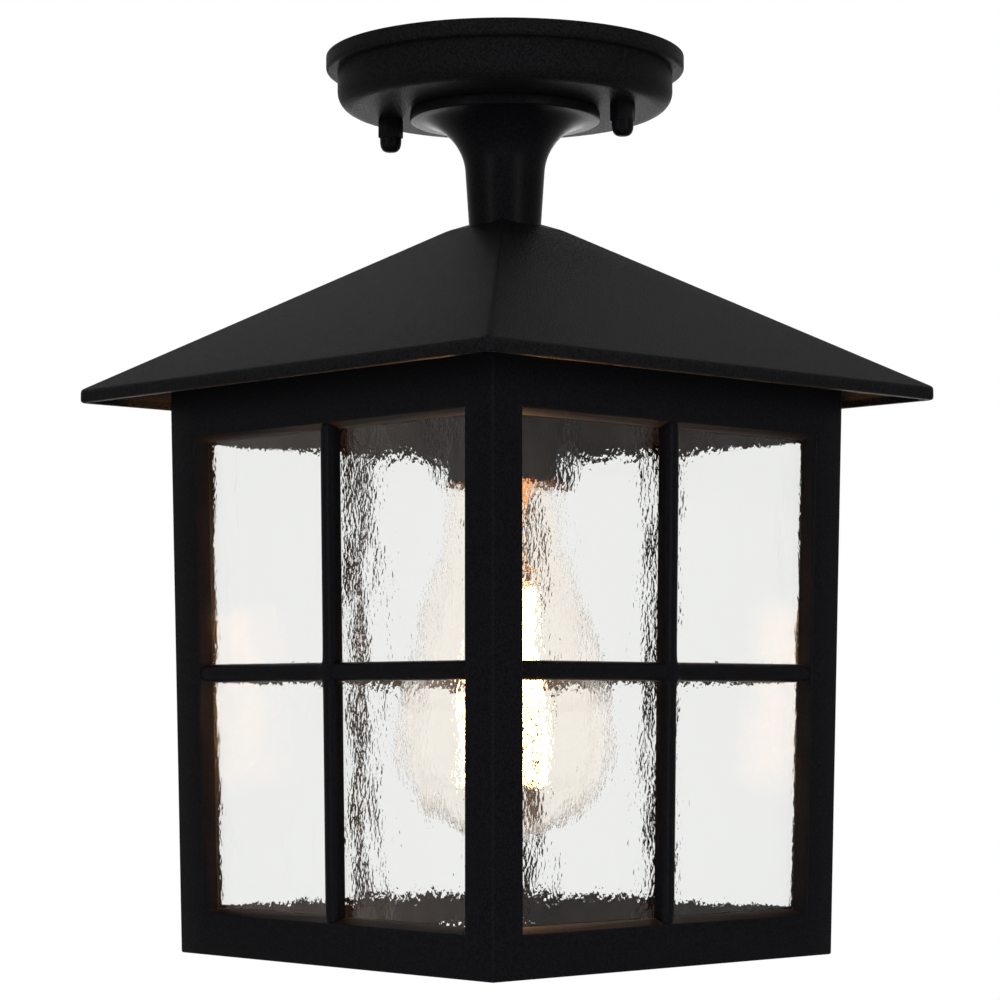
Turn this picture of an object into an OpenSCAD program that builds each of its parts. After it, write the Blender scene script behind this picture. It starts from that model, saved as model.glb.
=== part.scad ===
// Porch ceiling lantern: a square cast lantern, narrowing a little towards its open bottom, that hangs
// on a short trumpet neck under a round canopy. Sizes are in millimetres and angles in degrees.
// The origin is the centre of the ceiling face. +Z points up, and the four windows face along X and Y.

/* [Canopy] */
// Diameter over the brim
canopy_d = 112; // [104:1:130]
// Height of the brim that lies against the ceiling
brim_h = 4.6; // [4:0.1:7]
// Step in from the brim to the side
brim_step = 3.6; // [2.5:0.1:5]
// Depth from the ceiling to the flat underside
canopy_depth = 16.8; // [16:0.1:26]
// Wall of the canopy
canopy_wall = 1.6; // [1.2:0.1:2.2]
// Radius of the lower edge
canopy_edge_r = 3; // [2:0.1:5]
// Radius of the brim's two edges
brim_edge_r = 1; // [0.5:0.1:1.8]
// Turn of the canopy and its strap against the lantern's faces
canopy_turn = 26.6; // [-45:0.1:45]

/* [Mounting strap] */
// Length of the strap
strap_len = 92; // [88:1:96]
// Width of the strap
strap_w = 20; // [14:1:22]
// Thickness of the strap's steel
strap_t = 1.6; // [1.2:0.1:2]
// Drop of the strap's two ends below the ceiling
strap_drop = 4; // [3.6:0.1:5]
// Distance of the two ceiling screw holes from each other
ceiling_hole_pitch = 50.8; // [46:0.1:54]
// Diameter of a ceiling screw hole
ceiling_hole_d = 4.8; // [4:0.1:5.5]
// Distance of the two canopy studs from each other
stud_pitch = 77.4; // [74:0.1:80]
// Diameter of a canopy stud
stud_d = 4; // [3.5:0.1:5]
// Length of a canopy stud under its head
stud_len = 20.2; // [19:0.1:21]
// Width across the flats of the stud's nuts
stud_nut_af = 7; // [6.5:0.1:8]
// Height of the flat nut that locks a stud
stud_nut_h = 3.2; // [2:0.1:4]
// Height of the six-sided part of a cap nut
cap_nut_hex_h = 6; // [4:0.1:7]
// Height of a cap nut's dome
cap_nut_dome_h = 4.6; // [3:0.1:5]

/* [Supply terminals] */
// Length of the terminal block, along the strap
terminal_len = 26; // [22:0.5:30]
// Width of the terminal block
terminal_w = 13; // [11:0.5:15]
// Height of the terminal block
terminal_h = 10; // [8:0.1:11]
// Distance between neighbouring poles
pole_pitch = 8.5; // [7:0.1:9]
// Diameter of a wire with its sleeve
wire_d = 2.2; // [1.6:0.1:2.4]

/* [Neck] */
// Diameter of the neck's foot
foot_d = 59.4; // [54:0.1:66]
// Thickness of the neck's foot
foot_t = 3.5; // [2.5:0.1:6]
// Diameter at which the trumpet meets the foot
flare_d = 46.8; // [42:0.1:50]
// Diameter of the neck where the trumpet ends
waist_d = 24.8; // [23.6:0.1:28]
// Height of the trumpet below the foot
flare_h = 15.7; // [13:0.1:20]
// Diameter of the neck at the roof
neck_bottom_d = 22.4; // [20:0.1:24]
// Height of the neck below its foot
neck_h = 33.7; // [28:0.1:60]
// Wall of the neck
neck_wall = 3.4; // [2.5:0.1:4]

/* [Hanging tube] */
// Outer diameter of the threaded tube
tube_d = 10; // [9:0.1:11]
// Wall of the threaded tube
tube_wall = 1.25; // [0.8:0.05:1.6]
// Length of the threaded tube
tube_len = 75.8; // [72:0.1:78]
// Length of tube that stands above the upper nut
tube_proud = 2.5; // [1:0.1:3]
// Width across the flats of the tube nuts
tube_nut_af = 14; // [13:0.1:16]
// Height of a tube nut
tube_nut_h = 3; // [2.5:0.1:4]
// Diameter of a tube washer
tube_washer_d = 20; // [18:0.5:22]
// Thickness of a tube washer
tube_washer_t = 1.2; // [0.8:0.1:2]

/* [Roof] */
// Width of the roof over its eaves
roof_w = 190; // [180:1:210]
// Rise of the main slopes, from the top of the fascia to the crown
roof_rise = 50.1; // [45:0.1:58]
// Height of the fascia
fascia_h = 3.6; // [3:0.1:5]
// Width of the shallow crown at its foot
crown_w = 25.2; // [24:0.1:34]
// Width of the crown at its top
crown_top_w = 15.2; // [10:0.1:16]
// Rise of the crown
crown_rise = 2; // [1:0.1:3]
// Depth of the neck's seat below the crown's top
seat_sink = 1.5; // [0.5:0.1:2]
// Wall of the roof
roof_wall = 2.4; // [1.8:0.1:3]
// Radius of the eaves' four corners, seen from above
eave_corner_r = 4; // [2:0.1:8]
// Radius of the fascia's upper and lower edges
eave_edge_r = 1; // [0.5:0.1:1.4]
// Thickness of the roof's middle under the neck
roof_seat_t = 4.5; // [3:0.1:6]
// Diameter of a screw boss inside the roof
boss_d = 9; // [8:0.1:11]
// Diameter of a roof screw
roof_screw_d = 4; // [3:0.1:5]
// Length of a roof screw under its head
roof_screw_len = 11; // [9:0.1:12]

/* [Body cage] */
// Width of the cage at its top
cage_top_w = 148.4; // [140:0.1:156]
// Width of the cage at its bottom
cage_bottom_w = 141.4; // [134:0.1:148]
// Height of the cage
cage_h = 181.4; // [170:0.1:220]
// Length of cage that is hidden above the eaves
cage_tuck = 11.2; // [10:0.1:12]
// Wall of the cage
cage_wall = 4.6; // [4:0.1:6]
// Bevel on the cage's upright corners
corner_bevel = 0.7; // [0.4:0.1:1.5]
// Width of the stile on each side of a window
stile_w = 11.6; // [10:0.1:16]
// Height of the top rail
top_rail_h = 22.4; // [21:0.1:30]
// Height of the bottom rail
bottom_rail_h = 12.3; // [12.2:0.1:20]
// Slope of the four sides of a window towards the glass
window_draft = 20; // [5:1:30]
// Width of a glazing bar
bar_w = 5.6; // [4:0.1:8]
// Distance of a glazing bar's front behind the face of the cage
bar_recess = 0.2; // [0:0.1:1]
// Width of the flange inside the cage's top
flange_w = 8.2; // [6:0.1:10]
// Thickness of that flange
flange_t = 3; // [2.5:0.1:4]
// Distance of a roof screw from the cage's two inner walls
screw_inset = 11.6; // [9:0.1:13]

/* [Glazing] */
// Thickness of a pane
glass_t = 3; // [2:0.1:4]
// Width of glass behind the frame at the top and bottom of a window
glass_cover = 4.2; // [3:0.1:4.4]
// Width of a glass clip
clip_w = 10; // [8:0.5:14]
// Thickness of a glass clip
clip_t = 0.8; // [0.5:0.1:1.2]
// Length of clip that lies on the glass
clip_grip = 3.4; // [2:0.1:4]
// Width of the cast pad that carries a clip
pad_w = 14; // [12:0.5:18]
// Height of the cast pad that carries a clip
pad_h = 6.6; // [6.2:0.1:7]
// Diameter of a clip screw
clip_screw_d = 3; // [2.5:0.1:3.5]

/* [Lampholder] */
// Diameter of the lampholder
holder_d = 39.4; // [38:0.1:42]
// Height of the lampholder
holder_h = 58; // [56:0.1:64]
// Wall of the lampholder's cap and skirt
holder_wall = 1.6; // [1.2:0.1:2]
// Height of the collar that screws on the tube
collar_h = 8; // [6:0.1:9]
// Diameter of that collar
collar_d = 14; // [13:0.1:16]
// Height of the lampholder's cap
holder_cap_h = 22.5; // [21:0.1:24]

/* [Bulb] */
// Diameter of the bulb
bulb_d = 64; // [56:0.5:72]
// Length of the bulb over its contact
bulb_len = 139.4; // [128:0.1:150]
// Diameter of the bulb's screw cap over the thread
bulb_cap_d = 26.2; // [25.8:0.1:26.4]
// Height of the bulb's screw cap with its contact
bulb_cap_h = 27; // [25:0.1:28]
// Diameter of the bulb's throat, just below the skirt
throat_d = 33; // [30:0.5:34]
// Wall of the bulb's glass
bulb_wall = 0.9; // [0.6:0.1:1.2]
// Height of the bulb's rounded end
bulb_end_h = 29; // [24:0.5:32]
// Length of the glass stem inside the bulb
stem_len = 35; // [28:0.5:38]
// Length of a filament
filament_len = 60; // [44:0.5:62]
// Diameter of a filament
filament_d = 2.2; // [1.6:0.1:3]
// Distance of a filament's top from the bulb's axis
filament_top_r = 7; // [5:0.1:9]
// Distance of a filament's bottom from the bulb's axis
filament_bottom_r = 12; // [9:0.1:15]

/* [Clearances] */
// Gap at each side between a screw and its hole
screw_gap = 0.2; // [0.1:0.05:0.4]
// Gap at each side where a piece is located in a seat
seat_gap = 0.15; // [0.1:0.05:0.3]
// Gap between neighbouring panes, and from a pane's end to a pad
pane_gap = 0.5; // [0.3:0.1:1]
// Gap between the bulb's thread and the lampholder's shell
thread_gap = 0.5; // [0.4:0.05:0.8]

/* [Hidden] */

black_paint = "#1c1c1f";
plated_steel = "#b9bbbd";
brass_metal = "#c5a253";
black_plastic = "#26231f";
white_ceramic = "#e6e2d8";
clear_glass = [0.85, 0.9, 0.9, 0.4];

round_fn = 96;
small_fn = 32;
eps = 0.01;
far = 400;

// Levels, from the ceiling down
z_canopy_floor = -canopy_depth + canopy_wall;
z_foot_bottom = -canopy_depth - foot_t;
z_seat = z_foot_bottom - neck_h;
z_crown_top = z_seat + seat_sink;
z_crown = z_crown_top - crown_rise;
z_fascia_top = z_crown - roof_rise;
z_eave = z_fascia_top - fascia_h;
z_cage_top = z_eave + cage_tuck;
z_cage_bottom = z_cage_top - cage_h;
z_window_top = z_cage_top - top_rail_h;
z_window_bottom = z_cage_bottom + bottom_rail_h;
z_window_mid = (z_window_top + z_window_bottom) / 2;
z_tube_top = z_canopy_floor + tube_washer_t + tube_nut_h + tube_proud;
z_tube_bottom = z_tube_top - tube_len;
z_holder_top = z_tube_bottom + collar_h;

// Canopy
canopy_side_r = canopy_d / 2 - brim_step;
tube_hole_r = tube_d / 2 + seat_gap;
stud_hole_r = stud_d / 2 + screw_gap;
shelf_z = -brim_h + canopy_wall;
shelf_inner_r = canopy_side_r - canopy_wall;
shelf_outer_r = canopy_d / 2 - canopy_wall;

// Strap and terminals
bend_at = ceiling_hole_pitch / 2 + ceiling_hole_d / 2 + 3;
ear_len = terminal_w + 4;
ear_w = 16;
terminal_v = strap_w / 2 + ear_len - terminal_w / 2 - 1;
bore_z = -strap_t - terminal_h * 0.55;
terminal_bore_r = wire_d / 2 + 0.6;
terminal_screw_r = 1.7;
terminal_screw_v = terminal_w / 4;
earth_screw_u = 15;
earth_screw_r = 2;
earth_head_r = 3.9;
earth_head_h = 2.2;
stud_head_r = 3.6;
stud_head_h = 2.2;

// Roof
roof_slope = roof_rise / ((roof_w - crown_w) / 2);
roof_drop = roof_wall / cos(atan(roof_slope));
z_roof_ceiling = z_seat - roof_seat_t;
fascia_inner = roof_w / 2 - roof_wall - 0.2;

// Cage
cage_taper = atan((cage_top_w - cage_bottom_w) / 2 / cage_h);
roof_screw_at = cage_top_w / 2 - cage_wall - screw_inset;
roof_screw_head_r = 3.6;
roof_screw_head_h = 2.5;
window_top = (z_window_top - z_window_mid) / cos(cage_taper);
window_half = cage_half(z_window_mid) - stile_w;
pane_half_h = window_top + glass_cover;
pad_near = pane_half_h + pane_gap;
clip_screw_at = pad_near + pad_h / 2;
clip_face = cage_wall + glass_t;
clip_head_r = 2.7;
clip_head_h = 1.9;
clip_hole_floor = 2;

// Lampholder, with heights measured down from its top
dome_h = 9;
core_top = 14;
core_flange_t = 2.5;
core_flange_top = holder_cap_h - core_flange_t;
core_bottom = holder_cap_h + 2.2;
core_upper_r = 12;
core_lower_r = 12.9;
core_flange_r = holder_d / 2 - holder_wall - seat_gap;
ledge_t = 2;
ledge_r = core_flange_r - 1.6;
shell_t = 0.5;
shell_r = bulb_cap_d / 2 + thread_gap;
shell_len = 24;
terminal_r = 8;
contact_h = 2.7;
contact_r = 2.8;
contact_t = 0.6;
holder_screw_v = 4.6;
holder_screw_r = 1.25;
holder_screw_len = 3.6;
holder_screw_head_h = 1.4;
wire_hole_h = 4.6;

// Bulb, with heights measured down from its contact
z_bulb_tip = z_holder_top - core_bottom - shell_t - contact_h;
tip_h = 1.2;
tip_r = 4.6;
insulator_h = 2.8;
insulator_t = 1.6;
thread_depth = 0.5;
cap_wall = 0.6;
neck_glass_r = bulb_cap_d / 2 - thread_depth - cap_wall - seat_gap;
insulator_r = neck_glass_r - 1.6;
seal_at = bulb_cap_h - 3;
throat_at = bulb_cap_h + 6;
widest_at = bulb_len - bulb_end_h;
stem_r = 3.2;
stem_tip_at = seal_at + stem_len;
stem_flare_h = 11.5;
stem_neck_h = 19.5;
filament_top_at = stem_tip_at + 4;
filament_bottom_at = filament_top_at
    + sqrt(pow(filament_len, 2) - pow(filament_bottom_r - filament_top_r, 2));
support_r = 0.5;

// Routes of the wires, by hand, with the strap along X
live_route = [
    [-8.5, 18, -7.1], [-8.5, 13, -7.1], [-7.6, 9, -5.8], [-5.2, 5.2, -4.6], [-2.6, 2, -4.8],
    [-1.5, 0.4, -6.8], [-1.3, 0, -10], [-1.3, 0, -16], [-1.3, 0, -22], [-1.3, 0, -28],
    [-1.3, 0, -34], [-1.3, 0, -40], [-1.3, 0, -46], [-1.3, 0, -52], [-1.3, 0, -58],
    [-1.3, 0, -64], [-1.3, 0, -70], [-1.3, 0, -76], [-1.3, 0, -82], [-1.7, 0, -85],
    [-3.8, 0, -87.4], [-6.6, 0, -88.4], [-7.8, 0, -90], [-8, 0, -92], [-8, 0, -94.5]
];
neutral_route = [
    [0, 18, -7.1], [0, 13, -7.1], [0.6, 9, -5.8], [1.4, 5.2, -4.6], [1.5, 2.2, -4.8],
    [1.4, 0.5, -6.8], [1.3, 0, -10], [1.3, 0, -16], [1.3, 0, -22], [1.3, 0, -28],
    [1.3, 0, -34], [1.3, 0, -40], [1.3, 0, -46], [1.3, 0, -52], [1.3, 0, -58],
    [1.3, 0, -64], [1.3, 0, -70], [1.3, 0, -76], [1.3, 0, -82], [1.7, 0, -85],
    [3.8, 0, -87.4], [6.6, 0, -88.4], [7.8, 0, -90], [8, 0, -92], [8, 0, -94.5]
];
earth_route = [
    [8.5, 18, -7.1], [8.5, 13, -7.1], [9.4, 10, -6.6], [11.2, 8.4, -5.2],
    [13, 7, -3.6], [14.2, 5.6, -2.8], [14.8, 4, -2.7], [15, 2.6, -2.7]
];

// ---------- shared shapes ----------

// A block of square plan with one outline in X and Z, seen from all four sides
module four_sided(outline) {
    intersection() {
        across(outline);
        rotate([0, 0, 90]) across(outline);
    }
}

// The same with straight sides that slope evenly from top_w to bottom_w
module tapered_block(top_w, bottom_w, z_top, z_bottom) {
    four_sided([
        [-top_w / 2, z_top], [top_w / 2, z_top],
        [bottom_w / 2, z_bottom], [-bottom_w / 2, z_bottom]
    ]);
}

// An upright outline in X and Z, drawn out along Y
module across(outline) {
    rotate([90, 0, 0])
        linear_extrude(height = far, center = true)
            polygon(outline);
}

module rounded_square(w, r) {
    square([w - 2 * r, w], center = true);
    square([w, w - 2 * r], center = true);
    for (x = [-1, 1], y = [-1, 1])
        translate([x * (w / 2 - r), y * (w / 2 - r)])
            circle(r = r, $fn = 48);
}

module ring(outer_r, inner_r, z_low, z_high) {
    difference() {
        translate([0, 0, z_low]) cylinder(r = outer_r, h = z_high - z_low, $fn = round_fn);
        translate([0, 0, z_low - 1]) cylinder(r = inner_r, h = z_high - z_low + 2, $fn = round_fn);
    }
}

module hex_nut(af, hole_r, z_low, z_high) {
    difference() {
        translate([0, 0, z_low]) cylinder(r = af / 2 / cos(30), h = z_high - z_low, $fn = 6);
        translate([0, 0, z_low - 1]) cylinder(r = hole_r, h = z_high - z_low + 2, $fn = small_fn);
    }
}

// Head and shank of a screw whose head faces down, with z_seat_face the level under the head
module screw_up(shank_r, shank_len, head_r, head_h, z_seat_face) {
    translate([0, 0, z_seat_face]) cylinder(r = shank_r, h = shank_len, $fn = small_fn);
    translate([0, 0, z_seat_face - head_h]) cylinder(r = head_r, h = head_h, $fn = small_fn);
}

// The canopy, its strap and its wires stand turned against the lantern
module canopy_frame() {
    rotate([0, 0, canopy_turn]) children();
}

// One copy at each of the two studs
module at_studs() {
    canopy_frame()
        for (side = [-1, 1])
            translate([side * stud_pitch / 2, 0, 0]) children();
}

// One copy at each of the four roof screws
module at_roof_screws() {
    for (x = [-1, 1], y = [-1, 1])
        translate([x * roof_screw_at, y * roof_screw_at, 0]) children();
}

// The frame of one face: X along the face, Y into the lantern from its front, Z up the slope
module on_face(quarter) {
    rotate([0, 0, 90 * quarter])
        translate([0, -cage_half(z_window_mid), z_window_mid])
            rotate([cage_taper, 0, 0])
                children();
}

// Half the cage's width at a level
function cage_half(z) = cage_bottom_w / 2
    + (cage_top_w - cage_bottom_w) / 2 * (z - z_cage_bottom) / cage_h;

// The same, for a height in the frame of a face
function face_half(up) = cage_half(z_window_mid + up * cos(cage_taper));

function unit(v) = v / norm(v);

// Directions along a route, and a normal carried along it without twist
function directions(route) = [
    for (i = [0 : len(route) - 1])
        unit(route[min(i + 1, len(route) - 1)] - route[max(i - 1, 0)])
];
function turned(direction, normal) = unit(normal - direction * (direction * normal));
function carried(dirs) = [
    for (i = 0, n = turned(dirs[0], [0, 0, 1]);
         i < len(dirs);
         i = i + 1, n = i < len(dirs) ? turned(dirs[i], n) : n) n
];

// A round cord of one closed skin along a route
module cord(route, d, sides = 8) {
    dirs = directions(route);
    normals = carried(dirs);
    rings = len(route);
    points = [
        for (i = [0 : rings - 1], k = [0 : sides - 1])
            route[i] + d / 2 * (normals[i] * cos(360 * k / sides)
                + cross(dirs[i], normals[i]) * sin(360 * k / sides))
    ];
    skin = [
        for (i = [0 : rings - 2], k = [0 : sides - 1])
            let (next = (k + 1) % sides)
            [i * sides + k, (i + 1) * sides + k, (i + 1) * sides + next, i * sides + next]
    ];
    start = [[for (k = [0 : sides - 1]) k]];
    end = [[for (k = [sides - 1 : -1 : 0]) (rings - 1) * sides + k]];
    polyhedron(points = points, faces = concat(skin, start, end), convexity = 6);
}

// ---------- canopy and strap ----------

function arc(cx, cz, r, from, to, steps = 8) = [
    for (i = [0 : steps]) [cx + r * cos(from + (to - from) * i / steps),
                           cz + r * sin(from + (to - from) * i / steps)]
];

module canopy() {
    outer = concat(
        [[tube_hole_r, -canopy_depth]],
        arc(canopy_side_r - canopy_edge_r, -canopy_depth + canopy_edge_r, canopy_edge_r, -90, 0),
        [[canopy_side_r, -brim_h]],
        arc(canopy_d / 2 - brim_edge_r, -brim_h + brim_edge_r, brim_edge_r, -90, 0),
        arc(canopy_d / 2 - brim_edge_r, -brim_edge_r, brim_edge_r, 0, 90)
    );
    inner = concat(
        [[shelf_outer_r, 0], [shelf_outer_r, shelf_z], [shelf_inner_r, shelf_z]],
        arc(canopy_side_r - canopy_edge_r, -canopy_depth + canopy_edge_r,
            canopy_edge_r - canopy_wall, 0, -90),
        [[tube_hole_r, z_canopy_floor]]
    );
    color(black_paint)
        difference() {
            rotate_extrude($fn = 128) polygon(concat(outer, inner));
            at_studs()
                translate([0, 0, -canopy_depth - 1])
                    cylinder(r = stud_hole_r, h = canopy_wall + 2, $fn = small_fn);
        }
}

module canopy_gasket() {
    color("#2b2b2b")
        ring(shelf_outer_r - seat_gap, shelf_inner_r + seat_gap, shelf_z, 0);
}

module mounting_strap() {
    color(plated_steel)
        canopy_frame()
            difference() {
                union() {
                    translate([-bend_at, -strap_w / 2, -strap_t])
                        cube([2 * bend_at, strap_w, strap_t]);
                    translate([-ear_w / 2, 0, -strap_t])
                        cube([ear_w, strap_w / 2 + ear_len, strap_t]);
                    for (side = [0, 180])
                        rotate([0, 0, side]) {
                            translate([bend_at - strap_t, -strap_w / 2, -strap_drop - strap_t])
                                cube([strap_t, strap_w, strap_drop + strap_t]);
                            translate([bend_at - strap_t, -strap_w / 2, -strap_drop - strap_t])
                                cube([strap_len / 2 - bend_at + strap_t, strap_w, strap_t]);
                        }
                }
                for (side = [-1, 1]) {
                    translate([side * ceiling_hole_pitch / 2, 0, -strap_t - 1])
                        cylinder(r = ceiling_hole_d / 2, h = strap_t + 2, $fn = small_fn);
                    translate([side * stud_pitch / 2, 0, -strap_drop - strap_t - 1])
                        cylinder(r = stud_hole_r, h = strap_t + 2, $fn = small_fn);
                }
                translate([earth_screw_u, 0, -strap_t - 1])
                    cylinder(r = earth_screw_r + seat_gap, h = strap_t + 2, $fn = small_fn);
            }
}

module canopy_studs() {
    color(plated_steel)
        at_studs() {
            translate([0, 0, -strap_drop - stud_len])
                cylinder(r = stud_d / 2, h = stud_len, $fn = small_fn);
            translate([0, 0, -strap_drop])
                cylinder(r = stud_head_r, h = stud_head_h, $fn = small_fn);
        }
}

module stud_nuts() {
    color(plated_steel)
        at_studs()
            hex_nut(stud_nut_af, stud_d / 2 + seat_gap,
                -strap_drop - strap_t - stud_nut_h, -strap_drop - strap_t);
}

// A six-sided nut that closes in a narrower dome
module cap_nuts() {
    z_dome = -canopy_depth - cap_nut_hex_h;
    dome_r = stud_nut_af / 2 - 0.35;
    straight_h = max(cap_nut_dome_h - dome_r, 0.4);
    color(black_paint)
        at_studs()
            difference() {
                union() {
                    translate([0, 0, z_dome])
                        cylinder(r = stud_nut_af / 2 / cos(30), h = cap_nut_hex_h, $fn = 6);
                    translate([0, 0, z_dome])
                        rotate([180, 0, 0])
                            rotate_extrude($fn = small_fn)
                                polygon(concat(
                                    [[0, -eps], [dome_r, -eps]],
                                    [for (a = [0 : 10 : 90]) [dome_r * cos(a),
                                        straight_h + (cap_nut_dome_h - straight_h) * sin(a)]]
                                ));
                }
                translate([0, 0, -strap_drop - stud_len - 0.5])
                    cylinder(r = stud_d / 2 + seat_gap, h = stud_len, $fn = small_fn);
            }
}

// ---------- terminals and wires ----------

module terminal_block() {
    color(white_ceramic)
        canopy_frame()
            difference() {
                translate([-terminal_len / 2, terminal_v - terminal_w / 2, -strap_t - terminal_h])
                    cube([terminal_len, terminal_w, terminal_h]);
                for (pole = [-1, 0, 1]) {
                    translate([pole * pole_pitch, terminal_v + terminal_w / 2 + 1, bore_z])
                        rotate([90, 0, 0])
                            cylinder(r = terminal_bore_r, h = terminal_w + 2, $fn = small_fn);
                    for (side = [-1, 1])
                        translate([pole * pole_pitch, terminal_v + side * terminal_screw_v,
                            -strap_t - terminal_h - 1])
                            cylinder(r = terminal_screw_r + screw_gap,
                                h = 1 + terminal_h + strap_t + bore_z, $fn = small_fn);
                }
            }
}

module terminal_screws() {
    z_screw = -strap_t - terminal_h + 0.4;
    screw_len = bore_z - wire_d / 2 - z_screw;
    color(plated_steel)
        canopy_frame()
            for (pole = [-1, 0, 1], side = [-1, 1])
                translate([pole * pole_pitch, terminal_v + side * terminal_screw_v, z_screw])
                    cylinder(r = terminal_screw_r, h = screw_len, $fn = small_fn);
}

module earth_screw() {
    color(brass_metal)
        canopy_frame()
            translate([earth_screw_u, 0, 0])
                screw_up(earth_screw_r, strap_t + wire_d - 0.3, earth_head_r, earth_head_h,
                    -strap_t - wire_d);
}

module live_wire() {
    color("saddlebrown") canopy_frame() cord(live_route, wire_d);
}

module neutral_wire() {
    color("royalblue") canopy_frame() cord(neutral_route, wire_d);
}

module earth_wire() {
    color("yellowgreen") canopy_frame() cord(earth_route, wire_d);
}

// ---------- neck and hanging tube ----------

// Radius of the neck at a height below its foot: a straight taper, and the trumpet added to it
function taper_r(down) = neck_bottom_d / 2
    + (waist_d - neck_bottom_d) / 2 * (neck_h - down) / (neck_h - flare_h);
function trumpet_r(down) = down > flare_h ? taper_r(down)
    : min(flare_d / 2, taper_r(down) + flare_h * 1.02
        - sqrt(pow(flare_h * 1.02, 2) - pow(flare_h - down, 2)));

module neck() {
    steps = 32;
    bore_r = neck_bottom_d / 2 - neck_wall;
    curve = [for (i = [0 : steps]) let (down = flare_h * i / steps)
        [trumpet_r(down), z_foot_bottom - down]];
    color(black_paint)
        rotate_extrude($fn = round_fn)
            polygon(concat(
                [[bore_r, -canopy_depth]],
                arc(foot_d / 2 - 1, -canopy_depth - 1, 1, 90, 0, 4),
                arc(foot_d / 2 - 0.6, z_foot_bottom + 0.6, 0.6, 0, -90, 3),
                curve,
                [[neck_bottom_d / 2, z_seat], [tube_hole_r, z_seat],
                 [tube_hole_r, z_seat + neck_wall], [bore_r, z_seat + neck_wall]]
            ));
}

module threaded_tube() {
    color(plated_steel)
        ring(tube_d / 2, tube_d / 2 - tube_wall, z_tube_bottom, z_tube_top);
}

module tube_nuts() {
    color(plated_steel) {
        hex_nut(tube_nut_af, tube_hole_r, z_canopy_floor + tube_washer_t,
            z_canopy_floor + tube_washer_t + tube_nut_h);
        hex_nut(tube_nut_af, tube_hole_r, z_roof_ceiling - tube_washer_t - tube_nut_h,
            z_roof_ceiling - tube_washer_t);
    }
}

module tube_washers() {
    color(plated_steel) {
        ring(tube_washer_d / 2, tube_hole_r, z_canopy_floor, z_canopy_floor + tube_washer_t);
        ring(tube_washer_d / 2, tube_hole_r, z_roof_ceiling - tube_washer_t, z_roof_ceiling);
    }
}

// ---------- roof ----------

// Height of the main slope's outer face at a distance from the axis
function slope_z(x) = z_crown - roof_slope * (x - crown_w / 2);

// One side of the roof's outline, from the middle of the eaves up to the crown
function roof_side() = let (
        slope_angle = atan(roof_slope),
        edge_x = roof_w / 2 - eave_edge_r,
        upper_z = z_fascia_top + eave_edge_r * (roof_slope - 1 / cos(slope_angle))
    ) concat(
        arc(edge_x, z_eave + eave_edge_r, eave_edge_r, -90, 0, 4),
        arc(edge_x, upper_z, eave_edge_r, 0, 90 - slope_angle, 4),
        [[crown_w / 2, z_crown], [crown_top_w / 2, z_crown_top]]
    );

function mirrored(side) = [for (i = [len(side) - 1 : -1 : 0]) [-side[i][0], side[i][1]]];

module roof_outside() {
    side = roof_side();
    intersection() {
        four_sided(concat(side, mirrored(side)));
        translate([0, 0, z_eave - 1])
            linear_extrude(height = far) rounded_square(roof_w, eave_corner_r);
    }
}

module roof_hollow() {
    flat_half = crown_w / 2 + (z_crown - roof_drop - z_roof_ceiling) / roof_slope;
    z_inner_eave = slope_z(fascia_inner) - roof_drop;
    intersection() {
        four_sided([
            [-fascia_inner, z_eave - 1], [fascia_inner, z_eave - 1],
            [fascia_inner, z_inner_eave], [flat_half, z_roof_ceiling],
            [-flat_half, z_roof_ceiling], [-fascia_inner, z_inner_eave]
        ]);
        translate([0, 0, z_eave - 2])
            linear_extrude(height = far)
                rounded_square(2 * fascia_inner, max(eave_corner_r - roof_wall, 0.8));
    }
}

module roof() {
    color(black_paint)
        difference() {
            union() {
                difference() {
                    roof_outside();
                    roof_hollow();
                }
                intersection() {
                    roof_outside();
                    at_roof_screws()
                        translate([0, 0, z_cage_top])
                            cylinder(r = boss_d / 2, h = roof_rise, $fn = small_fn);
                }
            }
            translate([0, 0, z_seat])
                cylinder(r = neck_bottom_d / 2 + seat_gap, h = crown_rise + 2, $fn = round_fn);
            translate([0, 0, z_roof_ceiling - 1])
                cylinder(r = tube_hole_r, h = roof_seat_t + 2, $fn = small_fn);
            at_roof_screws()
                translate([0, 0, z_cage_top - 1])
                    cylinder(r = roof_screw_d / 2 + screw_gap / 2,
                        h = 1 + roof_screw_len - flange_t + 0.6, $fn = small_fn);
        }
}

module roof_screws() {
    color(plated_steel)
        at_roof_screws()
            screw_up(roof_screw_d / 2, roof_screw_len, roof_screw_head_r, roof_screw_head_h,
                z_cage_top - flange_t);
}

// ---------- body cage ----------

// The space of one window: widest at the front, and leaning with the stiles on both sides
module window_space() {
    front = -3;
    rear = cage_wall + 1;
    grow = tan(window_draft);
    intersection() {
        rotate([90, 0, 90])
            linear_extrude(height = far, center = true)
                polygon([
                    [front, window_top - front * grow], [rear, window_top - rear * grow],
                    [rear, -window_top + rear * grow], [front, -window_top + front * grow]
                ]);
        window_side(front, rear, grow);
        mirror([1, 0, 0]) window_side(front, rear, grow);
    }
}

module window_side(front, rear, grow) {
    translate([window_half, 0, 0])
        rotate([0, cage_taper, 0])
            linear_extrude(height = far, center = true)
                polygon([
                    [-far, front], [-front * grow, front], [-rear * grow, rear], [-far, rear]
                ]);
}

// A glazing bar of half-round front and flat back, along Z
module glazing_bar(length) {
    r = bar_w / 2;
    flat_depth = cage_wall - bar_recess - r;
    translate([0, bar_recess + r, -length / 2]) {
        intersection() {
            cylinder(r = r, h = length, $fn = small_fn);
            translate([-r, -r, 0]) cube([bar_w, r + flat_depth, length]);
        }
        translate([-r, 0, 0]) cube([bar_w, flat_depth, length]);
    }
}

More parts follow.
